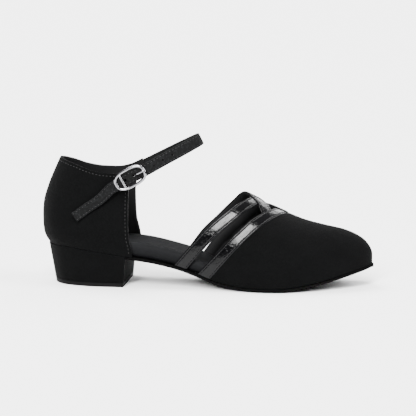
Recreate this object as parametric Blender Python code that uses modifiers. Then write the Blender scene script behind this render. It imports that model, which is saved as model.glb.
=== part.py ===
# Ballroom dance shoe for the right foot: open waist, crossed instep straps, ankle strap, block heel.
# Metres, +X to the toe, +Y to the inner (medial) side, +Z up. The floor is z = 0.
from math import acos, cos, pi, radians, sin, tanh

import bmesh
import bpy
import numpy as np
from mathutils import Matrix, Vector

# Driving sizes of the last
LENGTH = 0.249            # back of the quarter to the lip of the toe
BALL_WIDTH = 0.0745       # outsole across the ball
SEAT_HEIGHT = 0.0294      # floor to the seat, at the back of the heel
TOE_SPRING = 0.0147       # underside of the toe's tip over the floor
INSTEP_HEIGHT = 0.066     # floor to the ridge, where the two instep straps cross
QUARTER_TOP = 0.0946      # floor to the top of the quarter, at the back
BACK_CURVE = 0.0137       # how far the quarter's top leans forward of its bulge
SEAT_INSET = 0.0046       # how far the seat's edge lies in front of the quarter's bulge
RIDGE_SIDE = 0.004        # the ridge over the toes lies this far to the inner side
END_ROUND = 0.012         # half width under which an inset outline keeps its round end
TIP_SIDE = 0.004          # the toe's tip lies this far to the inner side

# Walls and layers
SOLE = 0.0026
SKIVE = 0.0012            # how much thinner the outsole is at its edge
LIP = 0.001               # how far the outsole stands out past the upper
CLEAR = 0.0003            # gap between neighbouring pieces
SLANT = 1.35              # a gap square to a slanting strap, measured along the shoe, over CLEAR
QUARTER_WALL = 0.0022
VAMP_WALL = 0.0016
INSOLE_HEEL = 0.0095
INSOLE_WAIST = 0.0108
INSOLE_BALL = 0.0048
INSOLE_TOE = 0.0032

# Heel
LIFT = 0.003              # height of the top lift
HEEL_BREAST = 0.0645      # breast of the heel from the back, at the floor
BREAST_LEAN = 0.002       # how far the breast leans forward to its top
HEEL_TAPER = 0.0052       # how far the heel's back runs in to its foot
HEEL_SIDE_TAPER = 0.0012

# Instep straps
BAND = 0.0088             # width of a patent strap at the sole
BAND_RIDGE = 0.0076       # and over the ridge
BAND_THICK = 0.0015
BINDING_THICK = 0.0021    # the binding stands over the vamp's edge
BINDING_PROUD = 0.0005
OVERPASS = 0.0012         # lift of the upper strap where the two cross and are sewn together
OVERPASS_REACH = 0.3      # how far either side of the ridge that lift reaches, in v
BAND_LEAST = 0.0008       # the crossing straps end where the binding leaves them less than this

# Ankle strap and buckle
STRAP = 0.009
STRAP_TAIL = 0.0076
STRAP_THICK = 0.0018
STRAP_SLOPE = radians(27)
HOLE = 0.002
HOLE_STEP = 0.008
HOLES_FORE = 4            # punched holes from the prong's towards the front
HOLES_TAIL = 2
PRONG_HOLE_STRETCH = 1.9  # the prong's own hole is oblong
STRAP_REST = 0.0003       # how far the strap stands off what it lies on, past CLEAR
TAIL_NARROWS = 1.5        # the strap reaches its tail's width this much sooner than its end
TAB_THICK = 0.001
TAB_WIDTH = 0.0076
TAB_REST = 0.0002
BUCKLE_LENGTH = 0.0254
BUCKLE_WIDTH = 0.015
WIRE = 0.0022
BAR = 0.0014
BAR_PLACE = -0.0025       # the prong's bar from the middle of the buckle, towards the front
KEEPER_PLACE = -0.0064    # keeper bar from the middle of the buckle
KEEPER = 0.0017
OVAL = 2.7                # 2 would make the frame an ellipse, and more squares its corners
PRONG = 0.0013
PRONG_HOLE = 0.0035       # middle of the prong's hole from the middle of the buckle
PRONG_SLOT = 0.0022

# Outline of the sole: share of the sole's length, then lateral and medial edge as shares of BALL_WIDTH
OUTLINE = (
    (0.00, 0.000, 0.000),
    (0.02, 0.168, 0.168),
    (0.05, 0.255, 0.255),
    (0.10, 0.315, 0.315),
    (0.16, 0.345, 0.345),
    (0.235, 0.349, 0.342),
    (0.30, 0.336, 0.308),
    (0.40, 0.332, 0.282),
    (0.48, 0.362, 0.305),
    (0.55, 0.408, 0.375),
    (0.62, 0.452, 0.455),
    (0.68, 0.472, 0.508),
    (0.73, 0.462, 0.528),
    (0.78, 0.427, 0.514),
    (0.84, 0.370, 0.454),
    (0.90, 0.292, 0.372),
    (0.95, 0.205, 0.280),
    (0.98, 0.130, 0.184),
    (1.00, 0.000, 0.000),
)

# How far towards its tip the sole swings to the inner side: share of length, share of TIP_SIDE
TOE_SWING = (
    (0.00, 0.0),
    (0.75, 0.0),
    (1.00, 1.0),
)

# Places across the outsole as shares of its half width
SOLE_LANES = (-1.0, -0.8, -0.4, 0.0, 0.4, 0.8, 1.0)

# Underside of the sole: share of LENGTH, share of the seat's rise, share of TOE_SPRING
PROFILE = (
    (0.00, 1.000, 0.00),
    (0.07, 0.995, 0.00),
    (0.14, 0.930, 0.00),
    (0.21, 0.840, 0.00),
    (0.27, 0.765, 0.00),
    (0.33, 0.690, 0.00),
    (0.38, 0.600, 0.00),
    (0.43, 0.482, 0.00),
    (0.48, 0.330, 0.00),
    (0.53, 0.170, 0.00),
    (0.58, 0.070, 0.00),
    (0.63, 0.015, 0.00),
    (0.66, 0.000, 0.00),
    (0.72, 0.000, 0.00),
    (0.79, 0.000, 0.13),
    (0.86, 0.000, 0.37),
    (0.92, 0.000, 0.63),
    (0.97, 0.000, 0.86),
    (1.00, 0.000, 1.00),
)

# Fore part of the upper: share of length, ridge height as a share of INSTEP_HEIGHT, how full the side
# is, how far it bulges, how full the top is, and the ridge's place to the inner side over RIDGE_SIDE
FOREPART = (
    (0.34, 1.590, 0.56, 0.05, 0.46, 0.70),
    (0.44, 1.400, 0.58, 0.05, 0.48, 0.70),
    (0.50, 1.275, 0.60, 0.05, 0.50, 0.70),
    (0.56, 1.150, 0.60, 0.05, 0.52, 0.70),
    (0.60, 1.070, 0.61, 0.05, 0.52, 0.70),
    (0.64, 1.000, 0.62, 0.05, 0.52, 0.70),
    (0.68, 0.925, 0.62, 0.06, 0.52, 0.72),
    (0.72, 0.862, 0.62, 0.06, 0.53, 0.75),
    (0.75, 0.812, 0.61, 0.07, 0.53, 0.78),
    (0.80, 0.742, 0.60, 0.08, 0.54, 0.82),
    (0.86, 0.688, 0.58, 0.08, 0.57, 0.88),
    (0.91, 0.648, 0.56, 0.08, 0.60, 0.92),
    (0.95, 0.590, 0.55, 0.08, 0.63, 0.96),
    (0.975, 0.530, 0.54, 0.08, 0.66, 0.98),
    (0.99, 0.465, 0.54, 0.08, 0.66, 1.00),
    (1.00, 0.360, 0.55, 0.08, 0.60, 1.00),
)

# Back of the quarter: share of its height, share of BACK_CURVE, width as a share of the seat's
BACK = (
    (0.00, 0.390, 1.000),
    (0.06, 0.190, 1.030),
    (0.13, 0.060, 1.050),
    (0.24, 0.005, 1.050),
    (0.34, 0.000, 1.030),
    (0.47, 0.045, 0.995),
    (0.67, 0.315, 0.940),
    (0.87, 0.710, 0.885),
    (1.00, 1.000, 0.850),
)

# Front edges of the quarter: share of its height, lateral and medial edge as shares of LENGTH
FRONT_EDGE = (
    (0.00, 0.2870, 0.2870),
    (0.10, 0.2850, 0.2850),
    (0.20, 0.2790, 0.2800),
    (0.33, 0.2765, 0.2715),
    (0.48, 0.2755, 0.2695),
    (0.64, 0.2755, 0.2690),
    (0.74, 0.2760, 0.2720),
    (0.80, 0.2760, 0.2820),
    (0.86, 0.2760, 0.3110),
    (0.94, 0.2745, 0.2997),
    (1.00, 0.2690, 0.2913),
)

# Topline: share of the way from the back to the front edge, lateral and medial shares of QUARTER_TOP
TOPLINE = (
    (0.00, 1.000, 1.000),
    (0.12, 0.985, 0.970),
    (0.30, 0.955, 0.925),
    (0.50, 0.918, 0.902),
    (0.68, 0.900, 0.898),
    (0.84, 0.896, 0.917),
    (1.00, 0.890, 0.963),
)

# Middle lines of the instep straps: v on the fore part, then share of LENGTH. The binding runs from the
# lateral to the medial sole edge, and the crossing straps start at their own side's, at v = -1.
BINDING_PATH = (
    (-1.00, 0.502),
    (-0.70, 0.573),
    (-0.45, 0.637),
    (-0.25, 0.686),
    (-0.10, 0.716),
    (0.00, 0.728),
    (0.10, 0.700),
    (0.275, 0.648),
    (0.49, 0.590),
    (0.70, 0.536),
    (0.85, 0.505),
    (1.00, 0.478),
)
LATERAL_PATH = (
    (-1.00, 0.430),
    (-0.60, 0.521),
    (-0.33, 0.592),
    (-0.20, 0.623),
    (-0.10, 0.643),
    (0.00, 0.660),
    (0.12, 0.680),
    (0.35, 0.712),
)
MEDIAL_PATH = (
    (-1.00, 0.432),
    (-0.87, 0.458),
    (-0.70, 0.490),
    (-0.50, 0.536),
    (-0.27, 0.587),
    (-0.10, 0.620),
    (0.00, 0.645),
    (0.10, 0.671),
    (0.20, 0.687),
    (0.35, 0.704),
)

# Middle line of the ankle strap from the inner side round the front: shares of LENGTH, BALL_WIDTH
# and QUARTER_TOP
LOOP_ROUTE = (
    (0.335, 0.275, 0.957),
    (0.379, 0.238, 1.017),
    (0.427, 0.170, 1.083),
    (0.459, 0.102, 1.126),
    (0.4765, 0.042, 1.149),
    (0.4790, 0.000, 1.152),
    (0.4765, -0.042, 1.147),
    (0.459, -0.116, 1.121),
    (0.427, -0.204, 1.076),
    (0.379, -0.300, 1.010),
)

# Its outer side and tail: shares of LENGTH and QUARTER_TOP, then how far it stands off the quarter,
# from 0, lying on it, to 1, over the buckle's bar
TAIL_ROUTE = (
    (0.336, 0.948, 1.00),
    (0.287, 0.880, 1.00),
    (0.256, 0.833, 0.90),
    (0.226, 0.782, 0.55),
    (0.194, 0.702, 0.24),
    (0.150, 0.620, 0.06),
    (0.1165, 0.555, 0.30),
)
BUCKLE_ROW = 1            # row of TAIL_ROUTE that the buckle's middle is over

# Thickness of the insole: share of LENGTH, thickness
INSOLE_LAYERS = (
    (0.00, INSOLE_HEEL),
    (0.22, INSOLE_HEEL),
    (0.33, INSOLE_WAIST),
    (0.44, INSOLE_WAIST),
    (0.62, INSOLE_BALL),
    (0.80, INSOLE_BALL),
    (1.00, INSOLE_TOE),
)

# Half section of the insole: share of its half width, share of its thickness
INSOLE_SECTION = (
    (0.955, 0.00),
    (0.99, 0.16),
    (1.00, 0.45),
    (0.985, 0.74),
    (0.93, 0.93),
    (0.82, 1.00),
    (0.45, 0.99),
    (0.00, 0.97),
)

# The prong from its hole on: past PRONG_HOLE over HOLE, height over STRAP_THICK
PRONG_RISE = (
    (-0.80, -0.9),
    (-0.10, 0.0),
    (0.60, 1.0),
    (1.75, 1.6),
)

# The tab's sewn end, laid on the quarter: behind the buckle's middle over BUCKLE_LENGTH
TAB_LAID = (0.75, 0.57, 0.41, 0.295)
TAB_RETURN = 0.354        # and where its folded end comes back to


def smooth(rows, column, share, rounded=False):
    """Monotone curve through one column of a table; rounded ends suit an outline that closes."""
    def place(s):
        s = min(max(s, rows[0][0]), rows[-1][0])
        return acos(1 - 2 * s) if rounded else s
    knots = [place(row[0]) for row in rows]
    values = [row[column] for row in rows]
    steps = np.diff(knots)
    rises = np.diff(values) / steps
    slopes = [rises[0]]
    for before, after, left, right in zip(rises[:-1], rises[1:], steps[:-1], steps[1:]):
        if before * after <= 0:
            slopes.append(0.0)
        else:
            near, far = 2 * right + left, right + 2 * left
            slopes.append((near + far) / (near / before + far / after))
    slopes.append(rises[-1])
    here = place(share)
    i = int(min(max(np.searchsorted(knots, here) - 1, 0), len(steps) - 1))
    u = (here - knots[i]) / steps[i]
    low = values[i] * (1 + 2 * u) * (1 - u) ** 2 + values[i + 1] * u * u * (3 - 2 * u)
    return low + steps[i] * (slopes[i] * u * (1 - u) ** 2 - slopes[i + 1] * u * u * (1 - u))


def underside(x):
    """Height of the outsole's underside."""
    rise = smooth(PROFILE, 1, x / LENGTH) * (SEAT_HEIGHT - SOLE)
    return rise + smooth(PROFILE, 2, x / LENGTH) * TOE_SPRING


def seat(x):
    """Height of the outsole's and the heel's top, which the upper and the insole stand on."""
    return underside(x) + SOLE


def edge(x, side, inset=0.0):
    """Side edge of the sole at x, drawn in by inset; side is -1 lateral and 1 medial."""
    first, last = SEAT_INSET + inset, LENGTH - inset
    share = min(max((x - first) / (last - first), 0.0), 1.0)
    half = smooth(OUTLINE, 1 if side < 0 else 2, share, rounded=True) * BALL_WIDTH
    if inset > 0:
        half -= inset * tanh(half / END_ROUND)
    return side * half + TIP_SIDE * smooth(TOE_SWING, 1, share)


def stations(first, last, count, round_first=False, round_last=False):
    """Lengths from first to last, crowded towards an end that closes round."""
    shares = np.linspace(0, 1, count)
    if round_first and round_last:
        shares = (1 - np.cos(pi * shares)) / 2
    elif round_first:
        shares = 1 - np.cos(pi / 2 * shares)
    elif round_last:
        shares = np.sin(pi / 2 * shares)
    return [first + (last - first) * s for s in shares]


def forepart(x, v):
    """Outside of the upper's fore part; v runs from -1, lateral sole edge, by 0, ridge, to 1."""
    reach = LENGTH - LIP
    share = x / reach
    side = -1 if v < 0 else 1
    foot_y = edge(x, side, LIP)
    foot_z = seat(x) + CLEAR
    ridge_y = smooth(FOREPART, 5, share) * RIDGE_SIDE
    ridge_z = smooth(FOREPART, 1, share, rounded=True) * INSTEP_HEIGHT
    full, bulge, top = (smooth(FOREPART, column, share) for column in (2, 3, 4))
    width = foot_y - ridge_y
    rise = ridge_z - foot_z
    cage = np.array([
        (foot_y, foot_z),
        (foot_y + bulge * width, foot_z + full * rise),
        (ridge_y + top * width, ridge_z),
        (ridge_y, ridge_z),
    ])
    u = np.linspace(0, 1, 41)[:, None]
    line = (1 - u) ** 3 * cage[0] + 3 * (1 - u) ** 2 * u * cage[1]
    line = line + 3 * (1 - u) * u * u * cage[2] + u ** 3 * cage[3]
    lengths = np.concatenate([[0], np.cumsum(np.hypot(*np.diff(line, axis=0).T))])
    want = (1 - abs(v)) * lengths[-1]
    y = np.interp(want, lengths, line[:, 0])
    z = np.interp(want, lengths, line[:, 1])
    return Vector((x, y, z))


def quarter_point(side, way, k):
    """Outside of the quarter; way runs from 0, the back, to 1, the front edge, and k is its height."""
    back_x = smooth(BACK, 1, k) * BACK_CURVE
    front_x = smooth(FRONT_EDGE, 1 if side < 0 else 2, k) * LENGTH
    x = back_x + (front_x - back_x) * way
    foot = seat(max(x, SEAT_INSET)) + CLEAR
    top = smooth(TOPLINE, 1 if side < 0 else 2, way) * QUARTER_TOP
    y = edge(x - back_x + SEAT_INSET, side) * smooth(BACK, 2, k)
    return Vector((x, y, foot + k * (top - foot)))


def material(name, colour, roughness, metallic=0.0):
    made = bpy.data.materials.new(name)
    made.use_nodes = True
    shader = made.node_tree.nodes["Principled BSDF"]
    shader.inputs["Base Color"].default_value = (*colour, 1)
    shader.inputs["Roughness"].default_value = roughness
    shader.inputs["Metallic"].default_value = metallic
    return made


def add(name, bm, finish, collection, parent, weld=1e-6):
    """Object from a bmesh, welded, with its faces pointing out."""
    bmesh.ops.remove_doubles(bm, verts=bm.verts, dist=weld)
    bmesh.ops.recalc_face_normals(bm, faces=bm.faces)
    if bm.calc_volume(signed=True) < 0:
        bmesh.ops.reverse_faces(bm, faces=bm.faces)
    mesh = bpy.data.meshes.new(name)
    bm.to_mesh(mesh)
    bm.free()
    mesh.materials.append(finish)
    made = bpy.data.objects.new(name, mesh)
    collection.objects.link(made)
    made.parent = parent
    return made


def loft(rings, closed_ends):
    """Skin over closed rings of points; closed_ends says which end gets a flat cap."""
    bm = bmesh.new()
    rows = [[bm.verts.new(p) for p in ring] for ring in rings]
    for near, far in zip(rows[:-1], rows[1:]):
        for i in range(len(near)):
            j = (i + 1) % len(near)
            bm.faces.new((near[i], near[j], far[j], far[i]))
    if closed_ends[0]:
        bm.faces.new(rows[0][::-1])
    if closed_ends[1]:
        bm.faces.new(rows[-1])
    return bm


def sheet(grid):
    """Open skin over rows of points."""
    bm = bmesh.new()
    rows = [[bm.verts.new(p) for p in line] for line in grid]
    for near, far in zip(rows[:-1], rows[1:]):
        for i in range(len(near) - 1):
            bm.faces.new((near[i], near[i + 1], far[i + 1], far[i]))
    return bm


def shell(name, bm, thickness, offset, finish, collection, parent, outward):
    """Wall on an open skin, whose faces are first turned towards the outward point's far side."""
    bmesh.ops.remove_doubles(bm, verts=bm.verts, dist=1e-6)
    bmesh.ops.recalc_face_normals(bm, faces=bm.faces)
    bm.normal_update()
    votes = sum(f.normal.dot(f.calc_center_median() - outward) for f in bm.faces)
    if votes < 0:
        bmesh.ops.reverse_faces(bm, faces=bm.faces)
    mesh = bpy.data.meshes.new(name)
    bm.to_mesh(mesh)
    bm.free()
    mesh.materials.append(finish)
    made = bpy.data.objects.new(name, mesh)
    collection.objects.link(made)
    made.parent = parent
    wall = made.modifiers.new("wall", "SOLIDIFY")
    wall.thickness = thickness
    wall.offset = offset
    wall.use_even_offset = True
    return made


def sole_ring(x):
    """Closed ring across the outsole, with its edge skived from below."""
    left, right = edge(x, -1), edge(x, 1)
    middle, half = (left + right) / 2, (right - left) / 2
    low, high = underside(x), seat(x)
    ring = [(x, middle + half * s, low + SKIVE * (abs(s) == 1)) for s in SOLE_LANES]
    return ring + [(x, middle + half * s, high) for s in SOLE_LANES[::-1]]


def make_outsole(finish, collection, parent):
    first = HEEL_BREAST + BREAST_LEAN + CLEAR
    flat_first, flat_last = 0.66 * LENGTH, 0.72 * LENGTH
    xs = stations(first, flat_first, 13)
    xs = xs + stations(flat_last, LENGTH, 15, round_last=True)
    rings = [sole_ring(x) for x in xs]
    return add("outsole", loft(rings, (True, False)), finish, collection, parent)


def heel_foot(x_share):
    """Length at the heel's foot for a share of the way from its back to its breast."""
    back = SEAT_INSET + HEEL_TAPER
    return back + (HEEL_BREAST - back) * x_share


def heel_rings(low_share, high_share):
    """Rings of the heel between two shares of its height, each ring at one share of its length."""
    rings = []
    for s in stations(0, 1, 13, round_first=True):
        top_x = SEAT_INSET + (HEEL_BREAST + BREAST_LEAN - SEAT_INSET) * s
        foot_x = heel_foot(s)
        ring = []
        for k, order in ((low_share, (-1, 0, 1)), (high_share, (1, 0, -1))):
            x = foot_x + (top_x - foot_x) * k
            for side in order:
                left, right = edge(top_x, -1), edge(top_x, 1)
                half = (right - left) / 2 - HEEL_SIDE_TAPER * (1 - k) * min(1, 4 * s)
                y = (left + right) / 2 + side * half
                ring.append((x, y, seat(max(top_x, SEAT_INSET)) * k))
        rings.append(ring)
    return rings


def make_heel(finish, rubber, collection, parent):
    lift_share = LIFT / SEAT_HEIGHT
    gap_share = (LIFT + CLEAR) / SEAT_HEIGHT
    rings = heel_rings(gap_share, 1.0)
    for ring in rings:
        for i in range(3):
            ring[i] = (ring[i][0], ring[i][1], LIFT + CLEAR)
    add("heel_block", loft(rings, (False, True)), finish, collection, parent)
    rings = heel_rings(0.0, lift_share)
    for ring in rings:
        for i in range(3, 6):
            ring[i] = (ring[i][0], ring[i][1], LIFT)
    add("top_lift", loft(rings, (False, True)), rubber, collection, parent)


def make_insole(finish, collection, parent):
    inset = QUARTER_WALL + LIP + CLEAR
    rings = []
    for x in stations(SEAT_INSET + inset + CLEAR, LENGTH - inset - CLEAR, 31, True, True):
        left, right = edge(x, -1, inset), edge(x, 1, inset)
        middle, half = (left + right) / 2, (right - left) / 2
        low, thick = seat(x) + CLEAR, smooth(INSOLE_LAYERS, 1, x / LENGTH)
        ring = [(x, middle, low)]
        ring += [(x, middle + half * w, low + thick * h) for w, h in INSOLE_SECTION]
        ring += [(x, middle - half * w, low + thick * h) for w, h in INSOLE_SECTION[-2::-1]]
        rings.append(ring)
    return add("insole", loft(rings, (True, True)), finish, collection, parent)


def make_quarter(finish, collection, parent):
    ways = stations(0, 1, 13, round_first=True)
    levels = [row[0] for row in FRONT_EDGE]
    grid = [[quarter_point(-1, way, k) for k in levels] for way in ways[::-1]]
    grid += [[quarter_point(1, way, k) for k in levels] for way in ways[1:]]
    middle = Vector((LENGTH * 0.15, 0, QUARTER_TOP * 0.6))
    return shell("quarter", sheet(grid), QUARTER_WALL, -1, finish, collection, parent, middle)


def band_edges(path, v, hand=1):
    """Rear and front edge of a strap at v, as lengths along the shoe; hand -1 mirrors its sides."""
    step = 0.01 if v < 0 else -0.01
    x = smooth(path, 1, v) * LENGTH
    ahead = smooth(path, 1, v + step) * LENGTH
    along = forepart(ahead, (v + step) * hand) - forepart(x, v * hand)
    lengthways = forepart(x + 0.001, v * hand) - forepart(x - 0.001, v * hand)
    width = BAND_RIDGE + (BAND - BAND_RIDGE) * abs(v)
    half = width / 2 / sin(along.angle(lengthways))
    return x - half, x + half


def lifted(bm, heights, inner):
    """Moves each point of an open skin out along its normal by its own height."""
    bmesh.ops.recalc_face_normals(bm, faces=bm.faces)
    bm.normal_update()
    votes = sum(f.normal.dot(f.calc_center_median() - inner) for f in bm.faces)
    if votes < 0:
        bmesh.ops.reverse_faces(bm, faces=bm.faces)
    bm.normal_update()
    places = [v.co + v.normal * h for v, h in zip(bm.verts, heights)]
    for v, place in zip(bm.verts, places):
        v.co = place
    return bm


FORE_MIDDLE = Vector((LENGTH * 0.62, 0, INSTEP_HEIGHT * 0.3))
ACROSS = np.linspace(-1, 1, 33)    # v of the fore part's rows, shared so that the facets of neighbours match


def make_vamp(finish, collection, parent):
    tip = LENGTH - LIP
    grid = []
    for v in ACROSS:
        throat = band_edges(BINDING_PATH, v)[1] + CLEAR * SLANT
        grid.append([forepart(x, v) for x in stations(throat, tip, 15, round_last=True)])
    return shell("vamp", sheet(grid), VAMP_WALL, -1, finish, collection, parent, FORE_MIDDLE)


def make_binding(finish, collection, parent):
    grid = []
    for v in ACROSS:
        rear, front = band_edges(BINDING_PATH, v)
        grid.append([forepart(rear + (front - rear) * s, v) for s in (0, 0.5, 1)])
    bm = sheet(grid)
    lifted(bm, [BINDING_PROUD] * len(bm.verts), FORE_MIDDLE)
    return shell("vamp_binding", bm, BINDING_THICK, -1, finish, collection, parent, FORE_MIDDLE)


def cross_band(name, path, hand, over, finish, collection, parent):
    """One instep strap from its own side's sole edge over the ridge to the other side's binding."""
    grid = []
    heights = []
    for v in np.linspace(-1, path[-1][0], 32):
        rear, front = band_edges(path, v, hand)
        stop = band_edges(BINDING_PATH, v * hand)[0] - CLEAR * SLANT
        if stop - rear < BAND_LEAST:
            break
        last = min(front, stop)
        grid.append([forepart(x, v * hand) for x in (rear, (rear + last) / 2, last)])
        near = max(0.0, 1 - abs(v) / OVERPASS_REACH)
        heights += [over * near * near * (3 - 2 * near)] * 3
    bm = sheet(grid)
    lifted(bm, heights, FORE_MIDDLE)
    return shell(name, bm, BAND_THICK, -1, finish, collection, parent, FORE_MIDDLE)


def fused(target, other):
    """Joins other into target and leaves one mesh."""
    join = target.modifiers.new("join", "BOOLEAN")
    join.operation = "UNION"
    join.solver = "EXACT"
    join.object = other
    bake(target)
    bpy.data.objects.remove(other)


def bake(target):
    """Replaces an object's mesh by what its modifiers make of it."""
    bpy.context.view_layer.update()
    seen = target.evaluated_get(bpy.context.evaluated_depsgraph_get())
    mesh = bpy.data.meshes.new_from_object(seen)
    target.modifiers.clear()
    target.data = mesh


def make_cross_straps(finish, collection, parent):
    lower = cross_band("cross_straps", LATERAL_PATH, 1, 0.0, finish, collection, parent)
    upper = cross_band("upper_strap", MEDIAL_PATH, -1, OVERPASS, finish, collection, parent)
    fused(lower, upper)
    return lower


def on_quarter(x, z, stand):
    """Point off the quarter's outer side, at length x and height z."""
    k = 0.8
    for _ in range(8):
        back_x = smooth(BACK, 1, k) * BACK_CURVE
        way = min((x - back_x) / (smooth(FRONT_EDGE, 1, k) * LENGTH - back_x), 1.0)
        foot = seat(x) + CLEAR
        k = min(max((z - foot) / (smooth(TOPLINE, 1, way) * QUARTER_TOP - foot), 0.0), 1.0)
    side = quarter_point(-1, way, k)
    return Vector((x, side.y - stand, z))


LEAVES = 2 * TAB_THICK + 2 * CLEAR + BAR + 2 * CLEAR
STAND_LOW = CLEAR + STRAP_THICK / 2 + STRAP_REST
STAND_HIGH = STAND_LOW + LEAVES + CLEAR


def strap_route():
    """Middle line of the ankle strap as points, and where along it the buckle's middle is."""
    low, high = quarter_point(1, 1, FRONT_EDGE[-3][0]), quarter_point(1, 1, 1)
    along = Vector((cos(STRAP_SLOPE), 0, sin(STRAP_SLOPE)))
    start = (low + high) / 2 + along * CLEAR
    start.y -= QUARTER_WALL / 2
    points = [start]
    points += [Vector((x * LENGTH, y * BALL_WIDTH, z * QUARTER_TOP)) for x, y, z in LOOP_ROUTE]
    for x, z, share in TAIL_ROUTE:
        stand = STAND_LOW + (STAND_HIGH - STAND_LOW) * share
        points.append(on_quarter(x * LENGTH, z * QUARTER_TOP, stand))
    places = [0.0]
    for near, far in zip(points[:-1], points[1:]):
        places.append(places[-1] + (far - near).length)
    return points, places, places[1 + len(LOOP_ROUTE) + BUCKLE_ROW]


def strap_frame(route, s):
    """Point and directions on the ankle strap: along it to the tail, across it upwards, and out."""
    points, places, _ = route
    rows = [(place, *point) for place, point in zip(places, points)]
    here = Vector([smooth(rows, c, s) for c in (1, 2, 3)])
    step = 0.0004
    ahead = Vector([smooth(rows, c, min(s + step, places[-1])) for c in (1, 2, 3)])
    behind = Vector([smooth(rows, c, max(s - step, 0)) for c in (1, 2, 3)])
    along = (ahead - behind).normalized()
    up = Vector((-sin(STRAP_SLOPE), 0, cos(STRAP_SLOPE)))
    up = (up - along * along.dot(up)).normalized()
    return here, along, up, up.cross(along)


def ribbon(name, frames, widths, thickness, finish, collection, parent):
    """Flat strap along frames of point and across direction, with its wall on both sides."""
    grid = []
    for (here, up), width in zip(frames, widths):
        grid.append([here + up * width * s for s in (-0.5, 0, 0.5)])
    bm = sheet(grid)
    mesh = bpy.data.meshes.new(name)
    bm.to_mesh(mesh)
    bm.free()
    mesh.materials.append(finish)
    made = bpy.data.objects.new(name, mesh)
    collection.objects.link(made)
    made.parent = parent
    wall = made.modifiers.new("wall", "SOLIDIFY")
    wall.thickness = thickness
    wall.offset = 0
    wall.use_even_offset = True
    return made


def cutter(name, mesh_maker, matrix, cutters, parent):
    bm = bmesh.new()
    mesh_maker(bm)
    mesh = bpy.data.meshes.new(name)
    bm.to_mesh(mesh)
    bm.free()
    made = bpy.data.objects.new(name, mesh)
    cutters.objects.link(made)
    made.parent = parent
    made.matrix_basis = matrix
    made.hide_render = True
    made.display_type = "WIRE"
    return made


def cut(target, tool):
    gone = target.modifiers.new(tool.name, "BOOLEAN")
    gone.operation = "DIFFERENCE"
    gone.solver = "EXACT"
    gone.object = tool


def frame_matrix(here, along, up, out):
    """Local axes: X towards the front of the strap, Y across it upwards, Z out."""
    return Matrix.Translation(here) @ Matrix((-along, up, out)).transposed().to_4x4()


def make_ankle_strap(route, finish, collection, cutters, parent):
    _, places, buckle = route
    frames, widths = [], []
    for s in stations(0, places[-1], 56):
        here, _, up, _ = strap_frame(route, s)
        frames.append((here, up))
        share = max(0.0, (s - buckle) / (places[-1] - buckle))
        widths.append(STRAP + (STRAP_TAIL - STRAP) * min(1.0, share * TAIL_NARROWS))
    made = ribbon("ankle_strap", frames, widths, STRAP_THICK, finish, collection, parent)
    for n in range(-HOLES_TAIL, HOLES_FORE + 1):
        here, along, up, out = strap_frame(route, buckle - PRONG_HOLE - n * HOLE_STEP)
        stretch = PRONG_HOLE_STRETCH if n == 0 else 1.0
        tool = cutter(
            f"hole_{n + HOLES_TAIL}",
            lambda bm: bmesh.ops.create_cone(
                bm, cap_ends=True, segments=10, radius1=HOLE / 2, radius2=HOLE / 2, depth=4 * STRAP_THICK),
            frame_matrix(here, along, up, out) @ Matrix.Diagonal((stretch, 1, 1, 1)),
            cutters, parent)
        cut(made, tool)
    return made


def wire(name, points, thickness, cyclic, finish, collection, parent, matrix):
    """Round wire through points, as a closed mesh."""
    curve = bpy.data.curves.new(name, "CURVE")
    curve.dimensions = "3D"
    curve.bevel_depth = thickness / 2
    curve.bevel_resolution = 2
    curve.use_fill_caps = True
    line = curve.splines.new("POLY")
    line.points.add(len(points) - 1)
    for point, place in zip(line.points, points):
        point.co = (*place, 1)
    line.use_cyclic_u = cyclic
    source = bpy.data.objects.new(name + "_path", curve)
    collection.objects.link(source)
    bpy.context.view_layer.update()
    mesh = bpy.data.meshes.new_from_object(source.evaluated_get(bpy.context.evaluated_depsgraph_get()))
    bpy.data.objects.remove(source)
    bm = bmesh.new()
    bm.from_mesh(mesh)
    bpy.data.meshes.remove(mesh)
    made = add(name, bm, finish, collection, parent, weld=1e-5)
    made.matrix_basis = matrix
    return made


FRAME_RISE = STRAP_THICK / 2 + CLEAR + WIRE / 2
BAR_DROP = STRAP_THICK / 2 + CLEAR + TAB_THICK + CLEAR + BAR / 2


def make_buckle(matrix, finish, collection, parent):
    """Oval frame, its keeper bar, and the dropped bar under the strap that the prong turns on."""
    half_long, half_wide = (BUCKLE_LENGTH - WIRE) / 2, (BUCKLE_WIDTH - WIRE) / 2
    power = 2 / OVAL

    def oval(angle):
        c, s = cos(angle), sin(angle)
        return (
            half_long * abs(c) ** power * (1 if c > 0 else -1),
            half_wide * abs(s) ** power * (1 if s > 0 else -1),
            FRAME_RISE,
        )

    def side_at(x):
        return half_wide * (1 - (abs(x) / half_long) ** OVAL) ** (1 / OVAL)

    frame = wire("buckle_frame", [oval(2 * pi * (i + 0.5) / 32) for i in range(32)], WIRE, True,
                 finish, collection, parent, matrix)
    keeper = side_at(KEEPER_PLACE)
    line = [(KEEPER_PLACE, -keeper, FRAME_RISE), (KEEPER_PLACE, keeper, FRAME_RISE)]
    fused(frame, wire("keeper_bar", line, KEEPER, False, finish, collection, parent, matrix))
    side = side_at(BAR_PLACE)
    line = [
        (BAR_PLACE, -side, FRAME_RISE),
        (BAR_PLACE, -side, -BAR_DROP),
        (BAR_PLACE, side, -BAR_DROP),
        (BAR_PLACE, side, FRAME_RISE),
    ]
    fused(frame, wire("prong_bar", line, BAR, False, finish, collection, parent, matrix))
    return frame


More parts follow.
